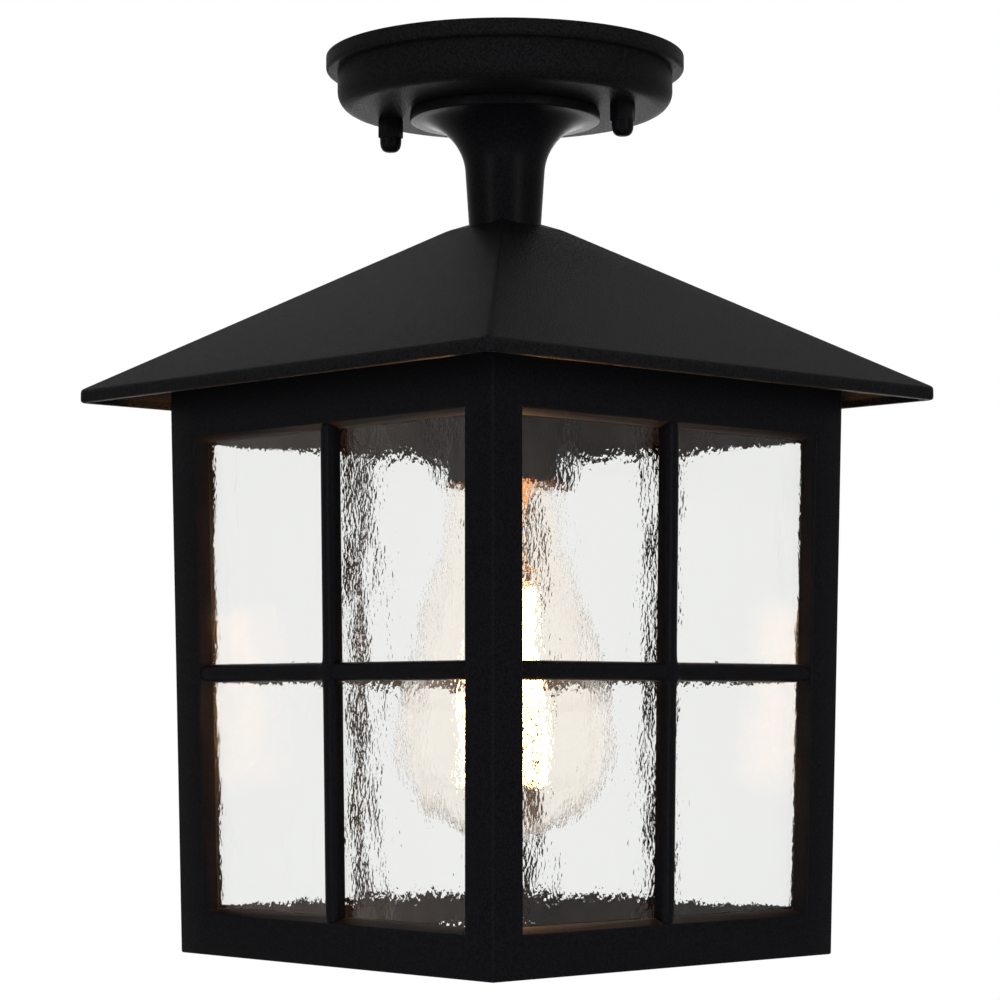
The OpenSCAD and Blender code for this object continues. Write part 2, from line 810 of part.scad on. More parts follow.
module glazing_cross() {
    glazing_bar(2 * window_top + 1);
    rotate([0, 90, 0]) glazing_bar(2 * window_half + 1);
}

// The two cast pads and their screw holes, mirrored top and bottom
module at_clips() {
    for (side = [0, 1])
        mirror([0, 0, side]) children();
}

module body_cage() {
    inner_top_w = cage_top_w - 2 * cage_wall;
    inner_bottom_w = cage_bottom_w - 2 * cage_wall;
    bevel_gap = corner_bevel / sqrt(2);
    flange_half = cage_half(z_cage_top) - cage_wall - flange_w;
    gusset = flange_w + 8;
    color(black_paint)
        difference() {
            union() {
                difference() {
                    intersection() {
                        tapered_block(cage_top_w, cage_bottom_w, z_cage_top, z_cage_bottom);
                        rotate([0, 0, 45])
                            tapered_block(cage_top_w * sqrt(2) - 2 * bevel_gap,
                                cage_bottom_w * sqrt(2) - 2 * bevel_gap, z_cage_top, z_cage_bottom);
                    }
                    tapered_block(inner_top_w, inner_bottom_w, z_cage_top + eps, z_cage_bottom - eps);
                    for (quarter = [0 : 3]) on_face(quarter) window_space();
                }
                for (quarter = [0 : 3]) on_face(quarter) {
                    glazing_cross();
                    at_clips()
                        translate([-pad_w / 2, cage_wall - 1, pad_near])
                            cube([pad_w, glass_t + 1, pad_h]);
                }
                difference() {
                    intersection() {
                        tapered_block(cage_top_w - 2, cage_bottom_w - 2, z_cage_top, z_cage_bottom);
                        translate([0, 0, z_cage_top - flange_t / 2])
                            cube([far, far, flange_t], center = true);
                    }
                    linear_extrude(height = far, center = true)
                        difference() {
                            square(2 * flange_half, center = true);
                            for (quarter = [0 : 3])
                                rotate([0, 0, 90 * quarter])
                                    translate([flange_half, flange_half])
                                        rotate([0, 0, 45])
                                            square([gusset * sqrt(2), far], center = true);
                        }
                }
            }
            at_roof_screws()
                translate([0, 0, z_cage_top - flange_t - 1])
                    cylinder(r = roof_screw_d / 2 + screw_gap, h = flange_t + 2, $fn = small_fn);
            for (quarter = [0 : 3])
                on_face(quarter)
                    at_clips()
                        translate([0, clip_hole_floor, clip_screw_at])
                            rotate([-90, 0, 0])
                                cylinder(r = clip_screw_d / 2 + screw_gap / 2, h = far / 8,
                                    $fn = small_fn);
        }
}

// ---------- glazing ----------

// A pane lies against the inside of its face and stops just short of its neighbours
module pane(quarter) {
    function half_at(up) = face_half(up) - cage_wall - glass_t - pane_gap;
    color(clear_glass)
        on_face(quarter)
            translate([0, cage_wall + glass_t, 0])
                rotate([90, 0, 0])
                    linear_extrude(height = glass_t)
                        polygon([
                            [-half_at(-pane_half_h), -pane_half_h],
                            [half_at(-pane_half_h), -pane_half_h],
                            [half_at(pane_half_h), pane_half_h],
                            [-half_at(pane_half_h), pane_half_h]
                        ]);
}

module pane_front() {
    pane(0);
}

module pane_right() {
    pane(1);
}

module pane_back() {
    pane(2);
}

module pane_left() {
    pane(3);
}

module glass_clips() {
    color(plated_steel)
        for (quarter = [0 : 3])
            on_face(quarter)
                at_clips()
                    difference() {
                        translate([-clip_w / 2, clip_face, pane_half_h - clip_grip])
                            cube([clip_w, clip_t, clip_grip + pane_gap + pad_h - 0.5]);
                        translate([0, clip_face - 1, clip_screw_at])
                            rotate([-90, 0, 0])
                                cylinder(r = clip_screw_d / 2 + screw_gap, h = clip_t + 2,
                                    $fn = small_fn);
                    }
}

module clip_screws() {
    color(plated_steel)
        for (quarter = [0 : 3])
            on_face(quarter)
                at_clips()
                    translate([0, 0, clip_screw_at])
                        rotate([-90, 0, 0]) {
                            translate([0, 0, clip_hole_floor + 0.4])
                                cylinder(r = clip_screw_d / 2,
                                    h = clip_face + clip_t - clip_hole_floor - 0.4, $fn = small_fn);
                            translate([0, 0, clip_face + clip_t])
                                cylinder(r = clip_head_r, h = clip_head_h, $fn = small_fn);
                        }
}

// ---------- lampholder ----------

// Turned pieces of the lampholder are drawn with heights measured down from its top
module turned(outline, z_top) {
    translate([0, 0, z_top])
        rotate_extrude($fn = round_fn)
            polygon([for (p = outline) [p[0], -p[1]]]);
}

// Points of the dome: from the collar out to the cap's side
function dome(inner_r, outer_r, top, height) = [
    for (a = [0 : 10 : 90]) [inner_r + (outer_r - inner_r) * sin(a), top + height * (1 - cos(a))]
];

module lampholder_cap() {
    side_r = holder_d / 2;
    inner_r = side_r - holder_wall;
    color(black_plastic)
        turned(concat(
            [[tube_hole_r, 0], [collar_d / 2, 0]],
            dome(collar_d / 2, side_r, collar_h, dome_h),
            [[side_r, holder_cap_h], [inner_r, holder_cap_h], [inner_r, core_flange_top],
             [inner_r - 0.8, core_flange_top], [inner_r - 0.8, collar_h + dome_h]],
            [for (a = [80 : -10 : 0]) [tube_hole_r + (inner_r - 0.8 - tube_hole_r) * sin(a),
                collar_h + holder_wall + (dome_h - holder_wall) * (1 - cos(a))]]
        ), z_holder_top);
}

module lampholder_skirt() {
    side_r = holder_d / 2;
    inner_r = side_r - holder_wall;
    color(black_plastic)
        turned(concat(
            [[ledge_r, holder_cap_h], [side_r, holder_cap_h]],
            [for (a = [0 : 15 : 90]) [side_r - 1 + cos(a), holder_h - 1 + sin(a)]],
            [[inner_r, holder_h], [inner_r, holder_cap_h + ledge_t], [ledge_r, holder_cap_h + ledge_t]]
        ), z_holder_top);
}

module lampholder_core() {
    color(white_ceramic)
        difference() {
            turned([
                [0, core_top], [core_upper_r, core_top], [core_upper_r, core_flange_top],
                [core_flange_r, core_flange_top], [core_flange_r, holder_cap_h],
                [core_lower_r, holder_cap_h], [core_lower_r, core_bottom], [0, core_bottom]
            ], z_holder_top);
            canopy_frame()
                for (side = [-1, 1]) {
                    translate([side * terminal_r, 0, z_holder_top - core_top - wire_hole_h])
                        cylinder(r = wire_d / 2 + screw_gap, h = 2 * wire_hole_h, $fn = small_fn);
                    translate([side * terminal_r, side * holder_screw_v,
                        z_holder_top - core_top - holder_screw_len - 0.4])
                        cylinder(r = holder_screw_r + screw_gap, h = 2 * holder_screw_len,
                            $fn = small_fn);
                }
        }
}

module lampholder_shell() {
    top = core_bottom;
    half_turns = 12;
    step = (shell_len - 2 * shell_t) / half_turns;
    wave = [for (i = [0 : half_turns]) [shell_r + thread_depth * (i % 2), top + 2 * shell_t + i * step]];
    hole_r = contact_r + screw_gap;
    color(brass_metal)
        turned(concat(
            [[hole_r, top], [shell_r + shell_t, top]],
            [for (i = [0 : half_turns]) wave[i] + [shell_t, 0]],
            [for (i = [half_turns : -1 : 0]) wave[i]],
            [[shell_r, top + shell_t], [hole_r, top + shell_t]]
        ), z_holder_top);
}

// A sprung tongue that meets the contact of the bulb
module lampholder_contact() {
    color(brass_metal)
        translate([0, 0, z_bulb_tip]) {
            cylinder(r = contact_r, h = contact_t, $fn = small_fn);
            cylinder(r = contact_r / 2, h = contact_h + shell_t, $fn = small_fn);
        }
}

module lampholder_screws() {
    color(plated_steel)
        canopy_frame()
            for (side = [-1, 1])
                translate([side * terminal_r, side * holder_screw_v, z_holder_top - core_top]) {
                    translate([0, 0, -holder_screw_len])
                        cylinder(r = holder_screw_r, h = holder_screw_len, $fn = small_fn);
                    cylinder(r = 1.7 * holder_screw_r, h = holder_screw_head_h, $fn = small_fn);
                }
}

// ---------- bulb ----------

// Outline of the envelope from its seal in the cap to its end, wall by wall
function envelope(inset) = let (
        throat_r = throat_d / 2 - inset,
        belly_r = bulb_d / 2 - inset,
        rim_r = neck_glass_r - inset
    ) concat(
        [[rim_r, seal_at], [rim_r, bulb_cap_h]],
        [for (i = [1 : 6]) [rim_r + (throat_r - rim_r) * (1 - cos(30 * i)) / 2,
            bulb_cap_h + (throat_at - bulb_cap_h) * i / 6]],
        [for (i = [1 : 24]) [throat_r + (belly_r - throat_r) * (1 - cos(7.5 * i)) / 2,
            throat_at + (widest_at - throat_at) * i / 24]],
        [for (i = [1 : 12]) [belly_r * cos(7.5 * i),
            widest_at + (bulb_end_h - inset) * sin(7.5 * i)]]
    );

module bulb_glass() {
    outside = envelope(0);
    inside = envelope(bulb_wall);
    color(clear_glass)
        turned(concat(
            outside,
            [for (i = [len(inside) - 1 : -1 : 0]) inside[i]]
        ), z_bulb_tip);
}

module bulb_cap() {
    crest = bulb_cap_d / 2;
    seat_r = neck_glass_r + seat_gap;
    half_turns = 10;
    first = tip_h + insulator_h;
    step = (bulb_cap_h - first - 2 * insulator_t) / half_turns;
    color(plated_steel)
        turned(concat(
            [[crest - 2 * thread_depth, first]],
            [for (i = [0 : half_turns])
                [crest - thread_depth * (1 - i % 2), first + insulator_t + i * step]],
            [[crest - thread_depth, bulb_cap_h], [seat_r, bulb_cap_h], [seat_r, seal_at],
             [seat_r - 1, seal_at], [seat_r - 1, first + insulator_t], [insulator_r, first + insulator_t],
             [insulator_r, first]]
        ), z_bulb_tip);
}

module bulb_insulator() {
    first = tip_h + insulator_h;
    color("#151515")
        turned([
            [0, tip_h], [tip_r, tip_h], [insulator_r, first], [insulator_r, first + insulator_t],
            [0, first + insulator_t]
        ], z_bulb_tip);
}

module bulb_contact() {
    color(plated_steel)
        turned([
            [0, 0], [tip_r - tip_h, 0], [tip_r, tip_h / 2], [tip_r, tip_h], [0, tip_h]
        ], z_bulb_tip);
}

module bulb_stem() {
    rim_r = neck_glass_r - bulb_wall - 0.05;
    color(clear_glass)
        turned([
            [0, seal_at], [rim_r, seal_at], [rim_r, seal_at + 1.4 * bulb_wall],
            [stem_r + bulb_wall, seal_at + stem_flare_h], [stem_r, seal_at + stem_neck_h],
            [stem_r, stem_tip_at], [0, stem_tip_at]
        ], z_bulb_tip);
}

// One copy at each of the four filaments
module at_filaments() {
    for (quarter = [0 : 3])
        rotate([0, 0, 90 * quarter + 20]) children();
}

module bulb_filaments() {
    lean = asin((filament_bottom_r - filament_top_r) / filament_len);
    color("#ffd27a")
        at_filaments()
            translate([filament_top_r, 0, z_bulb_tip - filament_top_at])
                rotate([0, 180 - lean, 0])
                    cylinder(r = filament_d / 2, h = filament_len, $fn = small_fn);
}

module filament_wires() {
    hub_h = filament_bottom_at - stem_tip_at;
    color(plated_steel) {
        translate([0, 0, z_bulb_tip - filament_bottom_at - 2 * support_r - 0.1])
            cylinder(r = support_r, h = hub_h + 2 * support_r, $fn = 16);
        at_filaments() {
            translate([0, 0, z_bulb_tip - stem_tip_at - 2])
                rotate([0, 90, 0])
                    cylinder(r = support_r, h = filament_top_r + support_r, $fn = 16);
            translate([filament_top_r, 0, z_bulb_tip - filament_top_at + 0.05])
                cylinder(r = support_r, h = filament_top_at - stem_tip_at - 2.05, $fn = 16);
            translate([0, 0, z_bulb_tip - filament_bottom_at - support_r - 0.1])
                rotate([0, 90, 0])
                    cylinder(r = support_r, h = filament_bottom_r, $fn = 16);
        }
    }
}

// ---------- nodes ----------

canopy();
canopy_gasket();
mounting_strap();
canopy_studs();
stud_nuts();
cap_nuts();
terminal_block();
terminal_screws();
earth_screw();
live_wire();
neutral_wire();
earth_wire();
neck();
threaded_tube();
tube_nuts();
tube_washers();
roof();
roof_screws();
body_cage();
pane_front();
pane_right();
pane_back();
pane_left();
glass_clips();
clip_screws();
lampholder_cap();
lampholder_skirt();
lampholder_core();
lampholder_shell();
lampholder_contact();
lampholder_screws();
bulb_glass();
bulb_cap();
bulb_insulator();
bulb_contact();
bulb_stem();
bulb_filaments();
filament_wires();
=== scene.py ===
# %% [markdown]
# # A porch ceiling lantern
# The lantern hangs from a porch ceiling: a round canopy, a short trumpet neck, a square pyramid
# roof, and a cast cage that holds four panes of rippled glass around one bare bulb. The solid parts
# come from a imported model, and this lesson gives them the shapes and finishes that are seen.
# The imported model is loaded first, because every new piece is measured from it.

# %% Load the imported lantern
import math

import bmesh
import bpy
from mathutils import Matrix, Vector


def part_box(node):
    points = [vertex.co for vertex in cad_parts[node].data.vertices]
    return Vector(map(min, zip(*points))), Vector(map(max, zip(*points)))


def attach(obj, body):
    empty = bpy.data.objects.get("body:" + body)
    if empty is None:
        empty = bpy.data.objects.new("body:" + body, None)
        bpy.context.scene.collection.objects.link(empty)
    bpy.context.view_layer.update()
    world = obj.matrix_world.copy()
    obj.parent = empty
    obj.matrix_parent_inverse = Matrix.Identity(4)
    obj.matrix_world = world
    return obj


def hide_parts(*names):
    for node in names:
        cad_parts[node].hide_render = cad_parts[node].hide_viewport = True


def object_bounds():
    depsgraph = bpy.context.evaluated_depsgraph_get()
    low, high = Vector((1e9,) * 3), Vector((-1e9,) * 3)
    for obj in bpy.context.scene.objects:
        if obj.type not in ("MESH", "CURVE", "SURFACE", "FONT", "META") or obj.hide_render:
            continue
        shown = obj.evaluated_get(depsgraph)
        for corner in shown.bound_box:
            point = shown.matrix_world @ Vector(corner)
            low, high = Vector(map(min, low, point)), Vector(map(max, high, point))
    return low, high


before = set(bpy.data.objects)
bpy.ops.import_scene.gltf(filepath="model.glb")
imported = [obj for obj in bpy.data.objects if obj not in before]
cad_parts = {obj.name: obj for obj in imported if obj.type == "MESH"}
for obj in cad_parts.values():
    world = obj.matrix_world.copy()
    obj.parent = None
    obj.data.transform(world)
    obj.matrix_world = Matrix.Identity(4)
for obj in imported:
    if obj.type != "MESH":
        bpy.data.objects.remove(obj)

MM = 0.001
cad_low, cad_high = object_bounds()
print("packed nodes:", len(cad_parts))
print("height in mm:", round((cad_high.z - cad_low.z) / MM, 1))

# %% [markdown]
# ## The camera
# The photograph was taken from below the lantern's middle, almost straight at one corner, with a
# long lens. A camera could be aimed with a constraint, but its place and its two angles were
# worked out from the lantern's own edges, so they are written down as they are.

# %% Camera
camera_place = Vector((674.8, -631.0, -203.3)) * MM
camera_azimuth = 47.018
camera_pitch = 3.99
lens_mm = 107.43
sensor_mm = 36

camera_data = bpy.data.cameras.new("camera")
camera_data.lens = lens_mm
camera_data.sensor_width = sensor_mm
camera_data.sensor_fit = "HORIZONTAL"
camera = bpy.data.objects.new("camera", camera_data)
camera.location = camera_place
camera.rotation_euler = (math.radians(90 + camera_pitch), 0, math.radians(camera_azimuth))
bpy.context.scene.collection.objects.link(camera)
bpy.context.scene.camera = camera
print("camera distance in mm:", round(camera_place.xy.length / MM))

# %% [markdown]
# ## A white background
# A product photograph has a white background and soft light from all sides. One bright world could
# give both, but it would bleach the black paint. So the world is white only for rays that come from
# the camera, from gloss or through glass, and it lights the lantern at a plain level.

# %% World
looking = ("Is Camera Ray", "Is Glossy Ray", "Is Transmission Ray")


def any_ray(nodes, links, *kinds):
    """A socket that is 1 for a ray of any of these kinds, and otherwise 0."""
    paths = nodes.new("ShaderNodeLightPath")
    found = paths.outputs[kinds[0]]
    for kind in kinds[1:]:
        either = nodes.new("ShaderNodeMath")
        either.operation = "MAXIMUM"
        links.new(found, either.inputs[0])
        links.new(paths.outputs[kind], either.inputs[1])
        found = either.outputs[0]
    return found


def build_world(soft_level, white_level):
    """A plain pale world that the camera, gloss and glass see as white."""
    world = bpy.data.worlds.new("white room")
    world.use_nodes = True
    nodes, links = world.node_tree.nodes, world.node_tree.links
    nodes.clear()
    mixed = nodes.new("ShaderNodeMixShader")
    links.new(any_ray(nodes, links, *looking), mixed.inputs[0])
    for socket, level in ((1, soft_level), (2, white_level)):
        background = nodes.new("ShaderNodeBackground")
        background.inputs["Color"].default_value = (1, 1, 1, 1)
        background.inputs["Strength"].default_value = level
        links.new(background.outputs[0], mixed.inputs[socket])
    output = nodes.new("ShaderNodeOutputWorld")
    links.new(mixed.outputs[0], output.inputs["Surface"])
    return world


bpy.context.scene.world = build_world(soft_level=0.35, white_level=1.0)
bpy.context.scene.view_settings.view_transform = "Standard"
print("world:", bpy.context.scene.world.name)

# %% [markdown]
# ## Soft lamps
# Black paint shows its shape where it mirrors a lamp. Small lamps would give hard dots, so five
# soft boxes stand around the lantern: a large one above the roof, two tall narrow ones that draw a
# line of light on the neck and the posts, and two weak ones behind and below. Glass doesn't show
# them, because a lamp behind a window would be a white square in it.

# %% Lamps
lantern_middle = (cad_low + cad_high) / 2


def soft_lamp(name, place, width, height, power):
    """A soft box that points at the lantern's middle and isn't seen through glass."""
    lamp_data = bpy.data.lights.new(name, "AREA")
    lamp_data.shape = "RECTANGLE"
    lamp_data.size = width
    lamp_data.size_y = height
    lamp_data.energy = power
    lamp = bpy.data.objects.new(name, lamp_data)
    lamp.location = place
    lamp.visible_transmission = False
    lamp.rotation_euler = (lantern_middle - lamp.location).to_track_quat("-Z", "Y").to_euler()
    bpy.context.scene.collection.objects.link(lamp)


soft_lamp("lamp above", (0.1, -0.1, 1.1), width=1.0, height=1.0, power=16)
soft_lamp("lamp left", (0.03, -1.4, -0.05), width=0.25, height=0.9, power=10)
soft_lamp("lamp right", (1.4, -0.08, -0.05), width=0.25, height=0.9, power=12)
soft_lamp("lamp behind", (-1.1, 1.1, -0.15), width=0.8, height=0.5, power=4)
soft_lamp("lamp below", (0.5, -0.5, -0.55), width=0.5, height=0.5, power=3)

# %% [markdown]
# ## Working by operator
# Each piece is modelled as by hand. In a script nobody clicks on a face, so a small helper picks
# vertices, edges or faces by a test on their middle or their normal.

# %% Helpers for selecting
def nothing_selected():
    """Deselects everything, so that the next operator acts on its own piece alone."""
    bpy.ops.object.select_all(action="DESELECT")


def only(piece):
    """Makes the piece the one that is selected and active."""
    nothing_selected()
    piece.select_set(True)
    bpy.context.view_layer.objects.active = piece


def edit(piece):
    """Goes into edit mode with all of the piece selected."""
    only(piece)
    bpy.ops.object.mode_set(mode="EDIT")
    bpy.ops.mesh.select_mode(type="VERT")
    bpy.ops.mesh.select_all(action="SELECT")


def leave():
    """Goes back to object mode."""
    bpy.ops.object.mode_set(mode="OBJECT")


def middle(part):
    """Middle of a vertex, an edge or a face."""
    if isinstance(part, bmesh.types.BMVert):
        return part.co
    return sum((corner.co for corner in part.verts), Vector()) / len(part.verts)


def choose(piece, kind, test):
    """Selects the vertices, edges or faces in edit mode that pass the test."""
    bpy.ops.mesh.select_mode(type=kind)
    bpy.ops.mesh.select_all(action="DESELECT")
    mesh = bmesh.from_edit_mesh(piece.data)
    parts = {"VERT": mesh.verts, "EDGE": mesh.edges, "FACE": mesh.faces}[kind]
    found = [part for part in parts if test(part)]
    for part in found:
        part.select_set(True)
    mesh.select_flush_mode()
    bmesh.update_edit_mesh(piece.data)
    return len(found)


def apply(piece, kind, **values):
    """Adds one modifier with these values and applies it."""
    only(piece)
    modifier = piece.modifiers.new(kind.lower(), kind)
    for name, value in values.items():
        setattr(modifier, name, value)
    bpy.ops.object.modifier_apply(modifier=modifier.name)


def extrude(step):
    """Extrudes what is selected and moves the new part by a step."""
    bpy.ops.mesh.extrude_region_move(TRANSFORM_OT_translate={"value": step})


same_place = 0.001 * MM


def clean_normals(piece):
    """Merges what coincides and turns all faces outwards."""
    edit(piece)
    bpy.ops.mesh.remove_doubles(threshold=same_place)
    bpy.ops.mesh.normals_make_consistent(inside=False)
    leave()


print("helpers ready")

# %% [markdown]
# ## Turned pieces
# The canopy, the neck, the lampholder and the bulb are round. Each could be a stack of cylinders,
# but on a lathe it is one outline that goes once around the axis. So one vertex is extruded from
# point to point, and the outline is spun.

# %% Turning
def arc(centre_r, centre_z, radius, start, end, steps=6):
    """Points of a round edge, with angles in degrees from the outward direction."""
    turns = [math.radians(start + (end - start) * i / steps) for i in range(steps + 1)]
    return [(centre_r + radius * math.cos(t), centre_z + radius * math.sin(t)) for t in turns]


def turn_on_lathe(name, outline, steps=96, closed=True):
    """Spins an outline of (radius, height) points in metres about the lantern's axis."""
    nothing_selected()
    bpy.ops.mesh.primitive_plane_add(size=MM)
    piece = bpy.context.object
    piece.name = name
    edit(piece)
    bpy.ops.mesh.merge(type="CENTER")
    points = [Vector((r, 0, z)) for r, z in outline]
    bpy.ops.transform.translate(value=points[0])
    for here, there in zip(points, points[1:] + points[:1] * closed):
        extrude(there - here)
    bpy.ops.mesh.select_all(action="SELECT")
    bpy.ops.mesh.remove_doubles(threshold=same_place)
    bpy.ops.mesh.select_all(action="SELECT")
    bpy.ops.mesh.spin(steps=steps, angle=2 * math.pi, center=(0, 0, 0), axis=(0, 0, 1))
    leave()
    clean_normals(piece)
    return piece


def dress(piece, body, material, replaced=(), smooth_below=32):
    """Finishes a new piece: its shading, material and body, and what it replaces."""
    only(piece)
    bpy.ops.object.transform_apply(location=True, rotation=True, scale=True)
    bpy.ops.object.shade_smooth_by_angle(angle=math.radians(smooth_below))
    piece.data.materials.clear()
    piece.data.materials.append(material)
    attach(piece, body)
    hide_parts(*replaced)
    print(piece.name, "faces:", len(piece.data.polygons))


print("lathe ready")

# %% [markdown]
# ## Black powder coat
# The castings carry a black powder coat with a fine sandy grain. A bitmap would tile, so the grain
# is noise in the metal's own space. It is a node group, because the rubber, the plastic and the
# plated steel use the same grain at other sizes. There are two coats: a matt one with a deep grain
# on the canopy and the roof, and a smoother one with a soft highlight on the neck, the nuts and the
# cage. Both mirror little, or the white room would turn them grey.

# %% Grain group
patches_per_metre = 45


def build_grain():
    """Fine grain for bump and wide patches for tone, both from noise in object space."""
    group = bpy.data.node_groups.new("surface grain", "ShaderNodeTree")
    for name, way, kind in (("Vector", "INPUT", "Vector"), ("Grains per metre", "INPUT", "Float"),
                            ("Height", "OUTPUT", "Float"), ("Patches", "OUTPUT", "Float")):
        group.interface.new_socket(name, in_out=way, socket_type="NodeSocket" + kind)
    nodes, links = group.nodes, group.links
    incoming = nodes.new("NodeGroupInput")
    outgoing = nodes.new("NodeGroupOutput")
    fine = nodes.new("ShaderNodeTexNoise")
    fine.inputs["Detail"].default_value = 3
    fine.inputs["Roughness"].default_value = 0.6
    links.new(incoming.outputs["Vector"], fine.inputs["Vector"])
    links.new(incoming.outputs["Grains per metre"], fine.inputs["Scale"])
    links.new(fine.outputs["Fac"], outgoing.inputs["Height"])
    wide = nodes.new("ShaderNodeTexNoise")
    wide.inputs["Scale"].default_value = patches_per_metre
    wide.inputs["Detail"].default_value = 4
    links.new(incoming.outputs["Vector"], wide.inputs["Vector"])
    links.new(wide.outputs["Fac"], outgoing.inputs["Patches"])
    return group


surface_grain = build_grain()
print("node group:", surface_grain.name)

# %% Materials with grain
def place_grain(nodes, links, grains):
    """Places the grain in a material, in the space of its object."""
    place = nodes.new("ShaderNodeTexCoord")
    grain = nodes.new("ShaderNodeGroup")
    grain.node_tree = surface_grain
    grain.inputs["Grains per metre"].default_value = grains
    links.new(place.outputs["Object"], grain.inputs["Vector"])
    return grain


def ramp(nodes, links, source, low, high):
    """Maps the noise's usual spread, 0.3 to 0.7, onto two plain values or two colours."""
    stops = nodes.new("ShaderNodeValToRGB")
    stops.color_ramp.elements[0].position = 0.3
    stops.color_ramp.elements[1].position = 0.7
    for stop, value in zip(stops.color_ramp.elements, (low, high)):
        colour = value if isinstance(value, tuple) else (value, value, value)
        stop.color = (*colour, 1)
    links.new(source, stops.inputs["Fac"])
    return stops.outputs["Color"]


def grained(name, dark, pale, rough, grains, bump, metallic=0.0, specular=0.5, depth=0.15 * MM,
            tone="Patches"):
    """A material whose colour and roughness drift a little, with a fine grain on top.

    Its colour follows the wide "Patches", or the "Height" of the grain, where pores are darker.
    """
    material = bpy.data.materials.new(name)
    material.use_nodes = True
    nodes, links = material.node_tree.nodes, material.node_tree.links
    shader = nodes["Principled BSDF"]
    shader.inputs["Metallic"].default_value = metallic
    shader.inputs["Specular IOR Level"].default_value = specular
    grain = place_grain(nodes, links, grains)
    links.new(ramp(nodes, links, grain.outputs[tone], dark, pale), shader.inputs["Base Color"])
    links.new(ramp(nodes, links, grain.outputs["Height"], *rough), shader.inputs["Roughness"])
    relief = nodes.new("ShaderNodeBump")
    relief.inputs["Strength"].default_value = bump
    relief.inputs["Distance"].default_value = depth
    links.new(grain.outputs["Height"], relief.inputs["Height"])
    links.new(relief.outputs["Normal"], shader.inputs["Normal"])
    return material


matt_coat = grained("matt black powder coat", (0.0016, 0.0016, 0.0018), (0.0076, 0.0076, 0.0084),
                    (0.32, 0.5), 1500, 1.0, specular=0.0065, depth=0.45 * MM, tone="Height")
satin_coat = grained("satin black powder coat", (0.0014, 0.0014, 0.0018), (0.005, 0.005, 0.0058),
                     (0.28, 0.38), 1500, 1.0, specular=0.012, depth=0.06 * MM, tone="Height")
print("materials:", matt_coat.name, "and", satin_coat.name)

# %% [markdown]
# ## The canopy
# The canopy is a shallow pan of spun metal. Its brim lies against the ceiling, its side steps in,
# and its lower edge is rounded. It hides the strap and the wiring. The two stud holes are cut with
# a boolean, because they are off the axis.

# %% Canopy
canopy_low, canopy_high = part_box("canopy")
brim_r = canopy_high.x
brim_h = 5 * MM
brim_step = 3.6 * MM
side_r = brim_r - brim_step
canopy_z = canopy_low.z
sheet_t = 1.6 * MM
lower_edge_r = 5.5 * MM
brim_edge_r = 1.3 * MM
brim_top_r = 0.4 * MM
canopy_turn = math.radians(26.6)
stud_at = 38.7 * MM
stud_hole_r = 2.2 * MM
tube_hole_r = 5.15 * MM

shelf_z = sheet_t - brim_h
outline = [(tube_hole_r, canopy_z)]
outline += arc(side_r - lower_edge_r, canopy_z + lower_edge_r, lower_edge_r, -90, 0, 8)
outline += [(side_r, -brim_h)]
outline += arc(brim_r - brim_edge_r, -brim_h + brim_edge_r, brim_edge_r, -90, 0)
outline += arc(brim_r - brim_top_r, -brim_top_r, brim_top_r, 0, 90, 3)
outline += [(brim_r - sheet_t, 0), (brim_r - sheet_t, shelf_z), (side_r - sheet_t, shelf_z)]
outline += arc(side_r - lower_edge_r, canopy_z + lower_edge_r, lower_edge_r - sheet_t, 0, -90)
outline += [(tube_hole_r, canopy_z + sheet_t)]
canopy = turn_on_lathe("canopy_pan", outline, steps=128)


def rod(place, radius, low, high, sides=32):
    """A plain upright cylinder that cuts a hole or adds a boss."""
    nothing_selected()
    bpy.ops.mesh.primitive_cylinder_add(
        vertices=sides, radius=radius, depth=high - low,
        location=(*place, (low + high) / 2),
    )
    return bpy.context.object


def combine(piece, tool, operation):
    """Cuts the piece with the tool, or joins them into one solid, and deletes the tool."""
    apply(piece, "BOOLEAN", object=tool, operation=operation, solver="MANIFOLD")
    bpy.data.objects.remove(tool)


stud_places = [
    (side * stud_at * math.cos(canopy_turn), side * stud_at * math.sin(canopy_turn))
    for side in (-1, 1)
]
for place in stud_places:
    combine(canopy, rod(place, stud_hole_r, canopy_z - MM, canopy_z + 2 * sheet_t), "DIFFERENCE")
dress(canopy, "lantern", matt_coat, ["canopy"])

# %% [markdown]
# ## The neck
# The neck is one casting: a flat foot under the canopy, a trumpet, and a slim stem that stands in a
# shallow seat on the roof. The trumpet is part of a circle, so its outline comes from that circle.

# %% Neck
neck_low, neck_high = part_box("neck")
foot_r = neck_high.x
foot_t = 3.5 * MM
foot_z = neck_high.z - foot_t
foot_top_edge_r = 1 * MM
foot_low_edge_r = 0.6 * MM
flare_h = 15.7 * MM
waist_r = 12.4 * MM
stem_r = 11.2 * MM
bore_r = 7.8 * MM
neck_wall = 3.4 * MM
stem_h = foot_z - neck_low.z
flare_rings = 32


def neck_radius(down):
    """Radius of the neck at a distance below its foot."""
    taper = stem_r + (waist_r - stem_r) * (stem_h - down) / (stem_h - flare_h)
    if down >= flare_h:
        return taper
    sweep = 1.02 * flare_h  # a circle a little larger than the flare, to meet the foot aslant
    return taper + sweep - math.sqrt(sweep ** 2 - (flare_h - down) ** 2)


